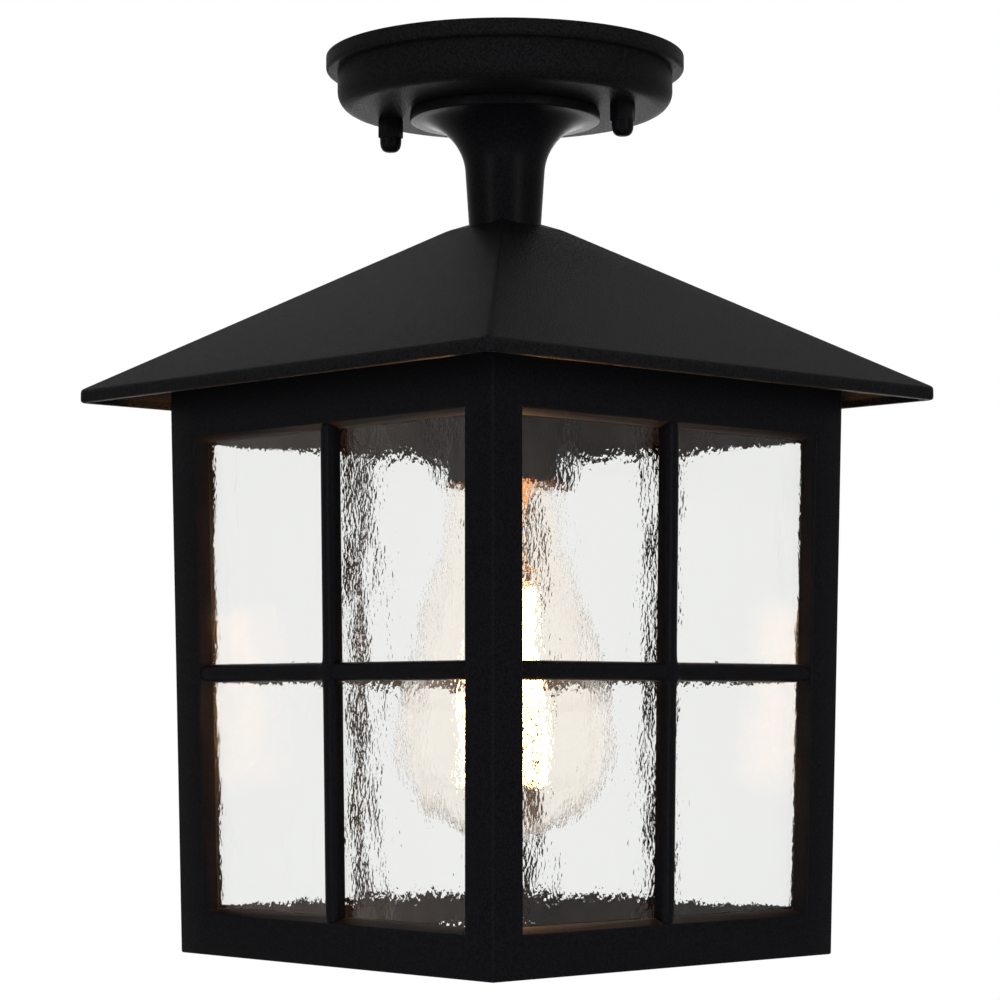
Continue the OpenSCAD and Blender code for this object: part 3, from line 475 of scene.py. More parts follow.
outline = [(bore_r, neck_high.z)]
outline += arc(foot_r - foot_top_edge_r, neck_high.z - foot_top_edge_r, foot_top_edge_r, 90, 0)
outline += arc(foot_r - foot_low_edge_r, foot_z + foot_low_edge_r, foot_low_edge_r, 0, -90, 4)
for ring in range(flare_rings + 1):
    down = flare_h * ring / flare_rings
    outline.append((neck_radius(down), foot_z - down))
outline += [(stem_r, neck_low.z), (tube_hole_r, neck_low.z), (tube_hole_r, neck_low.z + neck_wall)]
outline += [(bore_r, neck_low.z + neck_wall)]
neck = turn_on_lathe("neck_casting", outline)
dress(neck, "lantern", satin_coat, ["neck"])

# %% [markdown]
# ## The cap nuts
# Two cap nuts hold the canopy up on its studs. A cap nut is a six-sided piece that closes in a
# small blunt dome. The dome could be extruded from the lower face, ring by ring, but it is round
# and the nut is not. So a cylinder of six sides gets soft edges, and a turned dome joins it.

# %% Cap nuts
nut_tip_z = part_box("cap_nuts")[0].z
hex_h = 6 * MM
hex_z = canopy_z - hex_h
flats_r = 3.5 * MM
nut_bevel = 0.3 * MM
dome_r = 3.4 * MM
dome_h = hex_z - nut_tip_z
dome_rings = 12
bluntness = 0.65
dome_overlap = 0.5 * MM
nut_bore_r = 2.15 * MM
nut_bore_deep = 2.7 * MM


def cap_nut(name, place):
    """One cap nut, turned with its flats along the canopy's strap."""
    nothing_selected()
    bpy.ops.mesh.primitive_cylinder_add(
        vertices=6, radius=flats_r / math.cos(math.pi / 6), depth=canopy_z - hex_z,
        location=(0, 0, (canopy_z + hex_z) / 2),
    )
    nut = bpy.context.object
    nut.name = name
    apply(nut, "BEVEL", width=nut_bevel, segments=2, limit_method="ANGLE",
          angle_limit=math.radians(30))
    bpy.ops.object.transform_apply(location=True, rotation=True, scale=True)
    dome = [(0, nut_tip_z)]
    for ring in range(1, dome_rings + 1):
        turn = math.pi / 2 * ring / dome_rings
        dome.append((dome_r * math.sin(turn) ** bluntness,
                     hex_z - dome_h * max(math.cos(turn), 0) ** bluntness))
    dome += [(dome_r, hex_z + dome_overlap), (0, hex_z + dome_overlap)]
    combine(nut, turn_on_lathe("dome", dome, steps=32, closed=False), "UNION")
    combine(nut, rod((0, 0), nut_bore_r, hex_z - nut_bore_deep, canopy_z + MM), "DIFFERENCE")
    nut.rotation_euler.z = canopy_turn
    nut.location = (*place, 0)
    return nut


nuts = [cap_nut(f"cap_nut_{n + 1}", place) for n, place in enumerate(stud_places)]
only(nuts[0])
nuts[1].select_set(True)
bpy.ops.object.join()
cap_nuts = nuts[0]
cap_nuts.name = "cap_nut_pair"
dress(cap_nuts, "lantern", satin_coat, ["cap_nuts"])

# %% [markdown]
# ## The roof
# The roof is a hollow casting with four equal slopes, a thin upright fascia, rounded eave corners
# and a shallow crown under the neck. It starts as a flat square at the eaves, whose corners are
# rounded. The rim is extruded to the fascia's top, and then up and in to the crown, where each
# rounded corner closes in one point. So the hips stay sharp and the slopes stay flat.

# %% Roof, outer skin
roof_low, roof_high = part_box("roof")
roof_half = roof_high.x
eave_z = roof_low.z
fascia_h = 3.6 * MM
fascia_z = eave_z + fascia_h
seat_z = neck_low.z
seat_sink = 1.5 * MM
crown_top_z = seat_z + seat_sink
crown_rise = 2 * MM
crown_z = crown_top_z - crown_rise
crown_half = 12.6 * MM
crown_top_half = 7.6 * MM
eave_corner_r = 4 * MM
slope = (crown_z - fascia_z) / (roof_half - crown_half)

nothing_selected()
bpy.ops.mesh.primitive_plane_add(size=2 * roof_half, location=(0, 0, eave_z))
roof = bpy.context.object
roof.name = "roof_casting"
bpy.ops.object.transform_apply(location=True, rotation=True, scale=True)
edit(roof)
bpy.ops.mesh.bevel(offset=eave_corner_r, segments=8, affect="VERTICES")
bpy.ops.mesh.select_all(action="SELECT")
extrude((0, 0, fascia_z - eave_z))
choose(roof, "FACE", lambda f: len(f.verts) > 4 and abs(middle(f).z - eave_z) < MM)
bpy.ops.mesh.delete(type="ONLY_FACE")


def reach(v):
    """How far out a vertex is, measured square to the nearest side."""
    return max(abs(v.co.x), abs(v.co.y))


def is_high(v):
    """True for a vertex of the rim's upper edge."""
    return v.co.z > (eave_z + fascia_z) / 2


mesh = bmesh.from_edit_mesh(roof.data)
levels = sorted({round(reach(v) / MM, 4) for v in mesh.verts if is_high(v)})
for level in levels:
    choose(roof, "VERT", lambda v: is_high(v) and abs(reach(v) / MM - level) < 0.001)
    bpy.ops.transform.translate(value=(0, 0, slope * (roof_half - level * MM)))
print("levels of the rounded eave corner:", levels)

# %% Roof, slopes and crown
choose(roof, "FACE", lambda f: len(f.verts) > 4 and middle(f).z > fascia_z - MM)
extrude((0, 0, crown_z - fascia_z))
shrink = crown_half / roof_half
bpy.ops.transform.resize(value=(shrink, shrink, 1), center_override=(0, 0, crown_z))
for x in (-1, 1):
    for y in (-1, 1):
        choose(roof, "VERT",
               lambda v: v.co.z > crown_z - 2 * MM and v.co.x * x > 0 and v.co.y * y > 0)
        bpy.ops.mesh.merge(type="CENTER")
        mesh = bmesh.from_edit_mesh(roof.data)
        merged = next(v.co.copy() for v in mesh.verts if v.select)
        crown_corner = Vector((x * crown_half, y * crown_half, crown_z))
        bpy.ops.transform.translate(value=crown_corner - merged)
choose(roof, "FACE", lambda f: all(v.co.z > crown_z - 0.1 * MM for v in f.verts))
extrude((0, 0, crown_top_z - crown_z))
shrink = crown_top_half / crown_half
bpy.ops.transform.resize(value=(shrink, shrink, 1), center_override=(0, 0, crown_top_z))
leave()
clean_normals(roof)
print("roof faces:", len(roof.data.polygons), "vertices:", len(roof.data.vertices))

# %% [markdown]
# ## The roof's wall and its inside
# A casting has an even wall, so the skin is thickened inwards with Solidify. The middle is thicker
# under the neck, and four bosses inside take the screws that hold the cage. The hips and the
# fascia's edges are softened last, because real castings and their paint have no razor edges.

# %% Roof, wall and bosses
roof_wall = 2.4 * MM
seat_t = 4.5 * MM
boss_at = 58 * MM
boss_r = 4.5 * MM
screw_hole_r = 2.1 * MM
screw_hole_deep = 8.6 * MM
cage_tuck = 11.2 * MM
boss_z = roof_low.z + cage_tuck
seat_gap = 0.15 * MM

apply(roof, "SOLIDIFY", thickness=roof_wall, offset=-1, use_even_offset=True,
      use_quality_normals=True)
clean_normals(roof)


def inside_wall(x):
    """A height inside the thickness of the slope, at a distance from the axis."""
    return crown_z - slope * max(x - crown_half, 0) - 0.7 * roof_wall


seat_pad_r = 16 * MM
inner_sides = 30
seat_pad = rod((0, 0), seat_pad_r, seat_z - seat_t, inside_wall(seat_pad_r), sides=inner_sides)
combine(roof, seat_pad, "UNION")
boss_top = inside_wall(boss_at + boss_r)
for x in (-boss_at, boss_at):
    for y in (-boss_at, boss_at):
        combine(roof, rod((x, y), boss_r, boss_z, boss_top, sides=inner_sides), "UNION")
        screw_hole = rod((x, y), screw_hole_r, boss_z - MM, boss_z + screw_hole_deep)
        combine(roof, screw_hole, "DIFFERENCE")
neck_seat = rod((0, 0), stem_r + seat_gap, seat_z, crown_top_z + MM, sides=96)
combine(roof, neck_seat, "DIFFERENCE")
combine(roof, rod((0, 0), tube_hole_r, seat_z - seat_t - MM, seat_z + MM), "DIFFERENCE")

# %% Roof, soft edges
rim_band = 1.4 * MM
roof_bevel = 0.9 * MM


def is_soft_edge(e):
    """The fascia's two edges and the four hips, on the outer skin only."""
    if not e.is_manifold or e.calc_face_angle(0) < math.radians(25):
        return False
    on_rim = all(reach(v) > roof_half - rim_band and v.co.z < fascia_z + MM for v in e.verts)
    on_hip = all(
        abs(abs(v.co.x) - abs(v.co.y)) < 0.01 * MM
        and abs(crown_z - slope * (abs(v.co.x) - crown_half) - v.co.z) < 0.1 * MM
        for v in e.verts
    )
    return on_rim or on_hip


edit(roof)
softened = choose(roof, "EDGE", is_soft_edge)
bpy.ops.mesh.bevel(offset=roof_bevel, segments=3, affect="EDGES", clamp_overlap=False)
leave()
clean_normals(roof)
dress(roof, "lantern", matt_coat, ["roof"])
print("softened roof edges:", softened)

# %% [markdown]
# ## The body cage
# The cage is one casting that narrows a little to its open bottom. It could be built from four
# frames, but it is cast whole, so it starts as one tapered box without a top or a bottom. Six cuts
# mark out the windows, the window faces are deleted, and Solidify gives the wall its thickness.

# %% Cage, walls and windows
cage_low, cage_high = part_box("body_cage")
cage_top_half = cage_high.x
cage_bottom_half = 70.7 * MM
cage_h = cage_high.z - cage_low.z
cage_wall = 4.6 * MM
stile_w = 11.6 * MM
top_rail_h = 22.4 * MM
bottom_rail_h = 12.3 * MM
window_top_z = cage_high.z - top_rail_h
window_bottom_z = cage_low.z + bottom_rail_h
window_z = (window_top_z + window_bottom_z) / 2
taper = math.atan((cage_top_half - cage_bottom_half) / cage_h)


def cage_half(z):
    """Half the cage's width at a height."""
    return cage_bottom_half + (cage_top_half - cage_bottom_half) * (z - cage_low.z) / cage_h


window_half = cage_half(window_z) - stile_w

nothing_selected()
bpy.ops.mesh.primitive_cube_add(size=1, location=(0, 0, (cage_low.z + cage_high.z) / 2))
cage = bpy.context.object
cage.name = "cage_casting"
cage.scale = (2 * cage_top_half, 2 * cage_top_half, cage_h)
bpy.ops.object.transform_apply(location=True, rotation=True, scale=True)
edit(cage)
choose(cage, "VERT", lambda v: v.co.z < window_z)
narrow = cage_bottom_half / cage_top_half
bpy.ops.transform.resize(value=(narrow, narrow, 1), center_override=(0, 0, cage_low.z))
choose(cage, "FACE", lambda f: abs(f.normal.z) > 0.9)
bpy.ops.mesh.delete(type="FACE")
for z in (window_top_z, window_bottom_z):
    bpy.ops.mesh.select_all(action="SELECT")
    bpy.ops.mesh.bisect(plane_co=(0, 0, z), plane_no=(0, 0, 1))
for side in (-1, 1):
    for across in ((1, 0, 0), (0, 1, 0)):
        edge = Vector(across) * side
        bpy.ops.mesh.select_all(action="SELECT")
        bpy.ops.mesh.bisect(
            plane_co=edge * window_half + Vector((0, 0, window_z)),
            plane_no=edge * math.cos(taper) - Vector((0, 0, math.sin(taper))),
        )
windows = choose(
    cage, "FACE",
    lambda f: abs(middle(f).z - window_z) < 5 * MM
    and min(abs(middle(f).x), abs(middle(f).y)) < MM,
)
bpy.ops.mesh.delete(type="FACE")
leave()
apply(cage, "SOLIDIFY", thickness=cage_wall, offset=-1, use_even_offset=True)
edit(cage)
for z in (cage_low.z, cage_high.z):
    choose(cage, "VERT", lambda v: abs(v.co.z - z) < MM)
    bpy.ops.transform.resize(value=(1, 1, 0), center_override=(0, 0, z))
leave()
print("windows cut:", windows, "cage faces:", len(cage.data.polygons))

# %% [markdown]
# ## Draft and soft edges
# A casting leaves its mould only if the sides of its openings slope, so the inner rims of the
# windows are drawn in by twenty-four degrees. These slopes catch the light of the bulb. Then all
# sharp edges get a small bevel, as under a coat of paint.

# %% Cage, draft and bevels
draft_angle = math.radians(24)
draft = cage_wall * math.tan(draft_angle)
window_up = (window_top_z - window_z) / math.cos(taper)
cage_bevel = 0.6 * MM


def facing(quarter):
    """The ways out of and along a side: 0 is the front, 1 the right, 2 the back, 3 the left."""
    turn = math.radians(90 * quarter)
    outward = Vector((math.sin(turn), -math.cos(turn), 0))
    along = Vector((math.cos(turn), math.sin(turn), 0))
    return outward, along


edit(cage)
for quarter in range(4):
    outward, along = facing(quarter)
    centre = outward * (cage_half(window_z) - cage_wall) + Vector((0, 0, window_z))

    def on_inner_rim(v):
        """True for the four corners of this window on the inside of the wall."""
        out = v.co.dot(outward)
        return (out > 0 and cage_half(v.co.z) - out > 3 * MM
                and abs(v.co.dot(along)) < window_half + 3 * MM
                and abs(v.co.z - window_z) < window_up + MM)

    choose(cage, "VERT", on_inner_rim)
    squeeze_x = 1 - draft / window_half
    squeeze_z = 1 - draft / window_up
    factors = [squeeze_x if abs(along[i]) > 0.5 else squeeze_z for i in range(3)]
    bpy.ops.transform.resize(value=factors, center_override=centre)
leave()
clean_normals(cage)
apply(cage, "BEVEL", width=cage_bevel, segments=3, limit_method="ANGLE",
      angle_limit=math.radians(40))
print("cage faces after bevel:", len(cage.data.polygons))

# %% [markdown]
# ## Glazing bars
# A cross of half-round bars divides each window in four. The bars grow out of the frame and meet in
# soft fillets, which a boolean of two cylinders would not give. So the cross is a coarse box model:
# a square whose four sides are extruded into arms, rounded by a subdivision surface.

# %% The frame of a face
def put_on_face(piece, quarter):
    """Puts a piece, drawn with X along the face and Y up, on the back of the face's wall."""
    outward = facing(quarter)[0]
    face_normal = outward * math.cos(taper) - Vector((0, 0, math.sin(taper)))
    face_middle = outward * cage_half(window_z) + Vector((0, 0, window_z))
    only(piece)
    piece.rotation_euler = (math.radians(90) + taper, 0, math.radians(90 * quarter))
    piece.location = face_middle - face_normal * cage_wall
    bpy.ops.object.transform_apply(location=True, rotation=True, scale=True)
    return piece


# %% Cross of glazing bars
bar_half = 2.8 * MM
bar_recess = 0.2 * MM
fillet = 1.6 * MM
bar_root = 0.9 * MM


def glazing_cross():
    """A cross of two bars with a rounded front, a flat back and ends that go into the frame."""
    nothing_selected()
    bpy.ops.mesh.primitive_plane_add(size=2 * bar_half)
    cross = bpy.context.object
    cross.name = "cross"
    edit(cross)
    for x, y in ((1, 0), (-1, 0), (0, 1), (0, -1)):
        ahead = Vector((x, y, 0))
        length = window_half if x else window_up
        reached = bar_half
        for stop in (bar_half + fillet, length - 2 * fillet, length + bar_root):
            end_edge = ahead * reached
            choose(cross, "EDGE", lambda e: (middle(e) - end_edge).length < 0.1 * MM)
            extrude(ahead * (stop - reached))
            reached = stop
    bpy.ops.mesh.select_all(action="SELECT")
    extrude((0, 0, cage_wall - bar_recess))
    bpy.ops.mesh.select_all(action="SELECT")
    bpy.ops.mesh.normals_make_consistent(inside=False)
    leave()
    mesh = cross.data
    creases = mesh.attributes.new("crease_edge", "FLOAT", "EDGE")
    for edge in mesh.edges:
        flat_back = all(mesh.vertices[i].co.z < 0.01 * MM for i in edge.vertices)
        creases.data[edge.index].value = 1.0 if flat_back else 0.0
    apply(cross, "SUBSURF", levels=3, render_levels=3)
    return cross


for quarter in range(4):
    combine(cage, put_on_face(glazing_cross(), quarter), "UNION")
print("cage faces with its crosses:", len(cage.data.polygons))

# %% [markdown]
# ## Inside the cage
# A flange with four corner gussets takes the roof screws, and small cast pads above and below each
# window carry the clips that hold the glass. They show only from below, but they make the cage a
# real casting.

# %% Flange and pads
flange_t = 3 * MM
flange_w = 8.2 * MM
gusset = flange_w + 8 * MM
glass_t = 3 * MM
glass_cover = 4.2 * MM
pad_gap = 0.5 * MM
pad_half = 7 * MM
pad_h = 6.6 * MM
pad_bevel = 0.4 * MM
flange_inset = 1.5 * MM
flange_hole_r = 2.2 * MM
pane_up = window_up + glass_cover


def block(low, high):
    """A plain block that adds material to a casting."""
    nothing_selected()
    bpy.ops.mesh.primitive_cube_add(size=1, location=(Vector(low) + Vector(high)) / 2)
    made = bpy.context.object
    made.scale = Vector(high) - Vector(low)
    bpy.ops.object.transform_apply(location=True, rotation=True, scale=True)
    return made


flange_half = cage_top_half - flange_inset
flange = block((-flange_half, -flange_half, cage_high.z - flange_t),
               (flange_half, flange_half, cage_high.z))
nothing_selected()
bpy.ops.mesh.primitive_plane_add(
    size=2 * (cage_top_half - cage_wall - flange_w), location=(0, 0, cage_high.z - 2 * flange_t),
)
opening = bpy.context.object
edit(opening)
bpy.ops.mesh.bevel(offset=gusset, segments=1, affect="VERTICES")
bpy.ops.mesh.select_all(action="SELECT")
extrude((0, 0, 3 * flange_t))
leave()
clean_normals(opening)
combine(flange, opening, "DIFFERENCE")
for x in (-boss_at, boss_at):
    for y in (-boss_at, boss_at):
        hole = rod((x, y), flange_hole_r, cage_high.z - 2 * flange_t, cage_high.z + MM)
        combine(flange, hole, "DIFFERENCE")
combine(cage, flange, "UNION")

pad_low = pane_up + pad_gap
for quarter in range(4):
    for low, high in ((pad_low, pad_low + pad_h), (-pad_low - pad_h, -pad_low)):
        pad = block((-pad_half, low, -glass_t), (pad_half, high, MM))
        apply(pad, "BEVEL", width=pad_bevel, segments=2)
        combine(cage, put_on_face(pad, quarter), "UNION")
print("cage faces with flange and pads:", len(cage.data.polygons))
dress(cage, "lantern", satin_coat, ["body_cage"])

# %% [markdown]
# ## Clear glass
# Glass in a window and in a bulb bends what is behind it. A true glass shader does that, but it
# also stops the light of the bulb, because shadow rays can't bend. So rays that only ask for light
# pass straight through, and all other rays see true glass. A lit bulb also scatters a little light
# in its own envelope and stem, so a faint painted glow and a painted warm tint on that glass stand
# for it.

# %% Glass materials
ripple_stretch = 1.7
glass_ior = 1.5
glass_grains = 1300
# Colour of the glow that is painted on the bulb's glass.
painted_glow_colour = (1, 0.45, 0.16, 1)


def clear_glass(name, tint, shine, relief=0, glow=0):
    """Glass that bends the view and lets the bulb's light through.

    Its shine is the strength of its reflections. It may have a fine relief or a faint painted glow.
    """
    material = bpy.data.materials.new(name)
    material.use_nodes = True
    nodes, links = material.node_tree.nodes, material.node_tree.links
    shader = nodes["Principled BSDF"]
    shader.inputs["Base Color"].default_value = (*tint, 1)
    shader.inputs["Roughness"].default_value = 0
    shader.inputs["IOR"].default_value = glass_ior
    shader.inputs["Specular Tint"].default_value = (shine, shine, shine, 1)
    shader.inputs["Transmission Weight"].default_value = 1
    shader.inputs["Emission Color"].default_value = painted_glow_colour
    shader.inputs["Emission Strength"].default_value = glow
    if relief:
        place = nodes.new("ShaderNodeTexCoord")
        tall = nodes.new("ShaderNodeMapping")
        tall.vector_type = "TEXTURE"
        tall.inputs["Scale"].default_value = (1, 1, ripple_stretch)
        fine = nodes.new("ShaderNodeTexNoise")
        fine.inputs["Scale"].default_value = glass_grains
        fine.inputs["Detail"].default_value = 1
        bump = nodes.new("ShaderNodeBump")
        bump.inputs["Distance"].default_value = relief
        links.new(place.outputs["Object"], tall.inputs["Vector"])
        links.new(tall.outputs["Vector"], fine.inputs["Vector"])
        links.new(fine.outputs["Fac"], bump.inputs["Height"])
        links.new(bump.outputs["Normal"], shader.inputs["Normal"])
    through = nodes.new("ShaderNodeBsdfTransparent")
    through.inputs["Color"].default_value = (*tint, 1)
    asking = any_ray(nodes, links, "Is Shadow Ray", "Is Diffuse Ray")
    mixed = nodes.new("ShaderNodeMixShader")
    links.new(asking, mixed.inputs[0])
    links.new(shader.outputs[0], mixed.inputs[1])
    links.new(through.outputs[0], mixed.inputs[2])
    links.new(mixed.outputs[0], nodes["Material Output"].inputs["Surface"])
    return material


window_glass = clear_glass("clear rippled glass", (0.915, 0.92, 0.913), shine=0.05,
                           relief=0.03 * MM)
# The glow and the warm tint of the envelope and the stem are painted light from the lit filaments.
envelope_glass = clear_glass("thin clear glass, painted glow", (1, 0.985, 0.955), shine=0.5, glow=0.015)
stem_glass = clear_glass("stem glass, painted glow", (1, 0.82, 0.6), shine=0.5, glow=0.3)
print("materials:", window_glass.name, envelope_glass.name, stem_glass.name)

# %% [markdown]
# ## Rippled panes
# The panes are cast glass with a rippled side, like water that runs down. The ripples are real
# relief, because they bend the bars behind them into dark flecks, which a bump alone does not do
# from all sides. A fine grid is displaced by noise while it is squashed, and stretched afterwards,
# so that the ripples become tall. The rippled side faces the bulb, the smooth side the frame.

# %% Ripples
def ripple_noise(name, size):
    """A cloud texture whose lumps are about this size in metres."""
    noise = bpy.data.textures.new(name, "CLOUDS")
    noise.noise_scale = size
    noise.noise_depth = 1
    return noise


broad_ripples = ripple_noise("broad ripples", 14 * MM)
fine_ripples = ripple_noise("fine ripples", 0.75 * MM)
broad_depth = 0.6 * MM
fine_depth = 0.11 * MM
columns, rows = 364, 250


def rippled_pane(name, quarter, node):
    """One closed pane: rippled inside, flat outside, and leaning with the cage's stiles."""
    nothing_selected()
    pane_bottom = cage_half(window_z - pane_up) - cage_wall - glass_t - pad_gap
    pane_top = cage_half(window_z + pane_up) - cage_wall - glass_t - pad_gap
    bpy.ops.mesh.primitive_grid_add(x_subdivisions=columns, y_subdivisions=rows, size=1)
    pane = bpy.context.object
    pane.name = name
    pane.scale = (2 * pane_top, 2 * pane_up / ripple_stretch, 1)
    bpy.ops.object.transform_apply(location=True, rotation=True, scale=True)
    pane.location.x = quarter + 1  # its own place in the noise, so that no two panes are alike
    for noise, depth in ((broad_ripples, broad_depth), (fine_ripples, fine_depth)):
        apply(pane, "DISPLACE", texture=noise, texture_coords="GLOBAL", strength=depth,
              mid_level=0.2)
    pane.location.x = 0
    pane.scale.y = ripple_stretch
    bpy.ops.object.transform_apply(location=True, rotation=True, scale=True)
    lean = math.atan((pane_top - pane_bottom) / (2 * pane_up))
    edit(pane)
    for side in (-1, 1):
        bpy.ops.mesh.select_all(action="SELECT")
        bpy.ops.mesh.bisect(
            plane_co=(side * (pane_top + pane_bottom) / 2, 0, 0),
            plane_no=(side * math.cos(lean), -math.sin(lean), 0), clear_outer=True,
        )
    bpy.ops.mesh.select_all(action="SELECT")
    bpy.ops.transform.translate(value=(0, 0, -glass_t))
    bpy.ops.mesh.region_to_loop()
    extrude((0, 0, glass_t))
    bpy.ops.transform.resize(value=(1, 1, 0), center_override=(0, 0, 0))
    bpy.ops.mesh.edge_face_add()
    leave()
    clean_normals(pane)
    put_on_face(pane, quarter)
    dress(pane, "lantern", window_glass, [node], smooth_below=50)


for quarter, side in enumerate(("front", "right", "back", "left")):
    rippled_pane(f"rippled_{side}", quarter, f"pane_{side}")

# %% [markdown]
# ## The lampholder
# The lampholder is moulded in two black pieces. Its cap screws on the hanging tube and its skirt
# hides the bulb's thread. Both are turned, and their lips are rounded, because mouldings have no
# sharp lips.

# %% Lampholder, cap
black_moulding = grained("brown-black moulding", (0.014, 0.009, 0.0065), (0.022, 0.014, 0.01),
                         (0.28, 0.4), 700, 0.1, specular=0.015)
cap_low, cap_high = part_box("lampholder_cap")
holder_r = cap_high.x
holder_wall = 1.6 * MM
collar_r = 7 * MM
collar_h = 8 * MM
shoulder_h = 9 * MM
lip_r = 0.5 * MM
rebate_w = 0.8 * MM
rebate_z = cap_low.z + 2.5 * MM


def shoulder(inner_r, outer_r, top, height, start, end, steps=10):
    """A quarter of an ellipse from the collar out to the side, or back."""
    turns = [math.radians(start + (end - start) * i / steps) for i in range(steps + 1)]
    return [(inner_r + (outer_r - inner_r) * math.sin(t), top - height * (1 - math.cos(t)))
            for t in turns]


cap_inner_r = holder_r - holder_wall - rebate_w
collar_z = cap_high.z - collar_h
outline = [(tube_hole_r, cap_high.z)]
outline += arc(collar_r - lip_r, cap_high.z - lip_r, lip_r, 90, 0, 4)
outline += shoulder(collar_r, holder_r, collar_z, shoulder_h, 0, 90)
outline += arc(holder_r - lip_r, cap_low.z + lip_r, lip_r, 0, -90, 4)
outline += [(holder_r - holder_wall, cap_low.z), (holder_r - holder_wall, rebate_z)]
outline += [(cap_inner_r, rebate_z)]
outline += shoulder(tube_hole_r, cap_inner_r, collar_z - holder_wall, shoulder_h - holder_wall,
                    90, 0)
holder_cap = turn_on_lathe("holder_cap", outline)
dress(holder_cap, "lantern", black_moulding, ["lampholder_cap"])

# %% Lampholder, skirt
skirt_low, skirt_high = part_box("lampholder_skirt")
ledge_r = holder_r - holder_wall - 1.75 * MM
ledge_z = skirt_high.z - 2 * MM
mouth_r = 1 * MM
groove_deep = 0.4 * MM
groove_w = 1.6 * MM
groove_r = holder_r - groove_deep

outline = [(ledge_r, skirt_high.z)]
outline += arc(holder_r - lip_r, skirt_high.z - lip_r, lip_r, 90, 0, 4)
for down in (4, 7, 10):
    level = skirt_high.z - down * MM
    outline += [(holder_r, level), (groove_r, level - groove_deep),
                (groove_r, level - groove_w + groove_deep), (holder_r, level - groove_w)]
outline += arc(holder_r - mouth_r, skirt_low.z + mouth_r, mouth_r, 0, -90)
outline += [(holder_r - holder_wall, skirt_low.z), (holder_r - holder_wall, ledge_z)]
outline += [(ledge_r, ledge_z)]
holder_skirt = turn_on_lathe("holder_skirt", outline)
dress(holder_skirt, "lantern", black_moulding, ["lampholder_skirt"])

# %% [markdown]
# ## The bulb
# The bulb is a clear pear-shaped envelope around four lit filaments. The envelope is one glass wall
# with an outside and an inside, so that it bends light only at its edges, as thin glass does.

# %% Envelope
glass_low, glass_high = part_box("bulb_glass")
bulb_r = glass_high.x
bulb_wall = 0.9 * MM
throat_r = 16.5 * MM
seal_r = 11.85 * MM
end_h = 29 * MM
seal_h = 3 * MM
flare_below_seal = 6 * MM
rim_z = glass_high.z
cap_edge_z = rim_z - seal_h
throat_z = cap_edge_z - flare_below_seal
widest_z = glass_low.z + end_h


def swell(inset, start, end, parts):
    """Points of a soft S from one (radius, height) to another, drawn in by the wall."""
    (r0, z0), (r1, z1) = start, end
    ways = [(1 - math.cos(math.pi * i / parts)) / 2 for i in range(parts + 1)]
    return [(r0 - inset + (r1 - r0) * way, z0 + (z1 - z0) * i / parts)
            for i, way in enumerate(ways)]


def envelope(inset, parts=40):
    """Outline of the bulb from its seal to its end: a short flare, a long swell, a round end."""
    points = [(seal_r - inset, rim_z)]
    points += swell(inset, (seal_r, cap_edge_z), (throat_r, throat_z), 8)
    points += swell(inset, (throat_r, throat_z), (bulb_r, widest_z), parts)[1:]
    for i in range(1, parts // 2 + 1):
        turn = math.pi / 2 * i / (parts // 2)
        points.append(((bulb_r - inset) * math.cos(turn),
                       widest_z - (end_h - inset) * math.sin(turn)))
    points[-1] = (0, points[-1][1])
    return points


bulb_outline = envelope(0)[::-1] + envelope(bulb_wall)
bulb = turn_on_lathe("bulb_envelope", bulb_outline, steps=128, closed=False)
dress(bulb, "bulb", envelope_glass, ["bulb_glass"], smooth_below=60)

# %% [markdown]
# ## The filaments
# Four coated strips glow between the stem and a star of wires. Each is a slim rod with rounded
# ends, and the metal tabs at its ends belong to the wires. The glow is an emission. A camera can't
# hold both the strips and the light they cast, so rays that look at a strip see a weaker glow than
# rays that carry its light to the frame.

# %% Filaments
def glowing(name, colour, seen, cast):
    """A coating that shines: how bright it looks, and how much light it gives."""
    material = bpy.data.materials.new(name)
    material.use_nodes = True
    nodes, links = material.node_tree.nodes, material.node_tree.links
    shader = nodes["Principled BSDF"]
    shader.inputs["Base Color"].default_value = (0.9, 0.6, 0.25, 1)
    shader.inputs["Roughness"].default_value = 0.5
    shader.inputs["Emission Strength"].default_value = seen
    level = nodes.new("ShaderNodeMapRange")
    level.inputs["To Min"].default_value = cast
    level.inputs["To Max"].default_value = seen
    links.new(any_ray(nodes, links, *looking), level.inputs["Value"])
    links.new(level.outputs["Result"], shader.inputs["Emission Strength"])
    grain = place_grain(nodes, links, 900)
    dimmer = tuple(0.85 * c for c in colour)
    mottled = ramp(nodes, links, grain.outputs["Height"], dimmer, colour)
    links.new(mottled, shader.inputs["Emission Color"])
    return material


lit_coating = glowing("lit filament coating", (1.0, 0.48, 0.17), seen=60, cast=1000)
strip_r = 1.1 * MM
strip_end_r = 0.5 * MM
strip_len = 60 * MM
top_r = 7 * MM
bottom_r = 12 * MM
strip_lean = math.asin((bottom_r - top_r) / strip_len)
strip_top_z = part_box("bulb_filaments")[1].z
first_turn = math.radians(20)

outline = [(0, 0)] + arc(strip_r - strip_end_r, -strip_end_r, strip_end_r, 90, 0, 4)
outline += arc(strip_r - strip_end_r, -strip_len + strip_end_r, strip_end_r, 0, -90, 4)
outline += [(0, -strip_len)]
strips = []
for n in range(4):
    strip = turn_on_lathe(f"strip_{n}", outline, steps=24, closed=False)
    turn = first_turn + math.pi / 2 * n
    strip.rotation_euler = (0, -strip_lean, turn)
    strip.location = (top_r * math.cos(turn), top_r * math.sin(turn), strip_top_z)
    strips.append(strip)
only(strips[0])
for strip in strips[1:]:
    strip.select_set(True)
bpy.ops.object.join()
strips[0].name = "filament_strips"
dress(strips[0], "bulb", lit_coating, ["bulb_filaments"], smooth_below=60)

# %% [markdown]
# ## Pieces that keep their plain shape
# The small and hidden pieces need no remodelling, because their shapes are already right. They
# only get their material: darkened steel, brass, ceramic, rubber and so on.

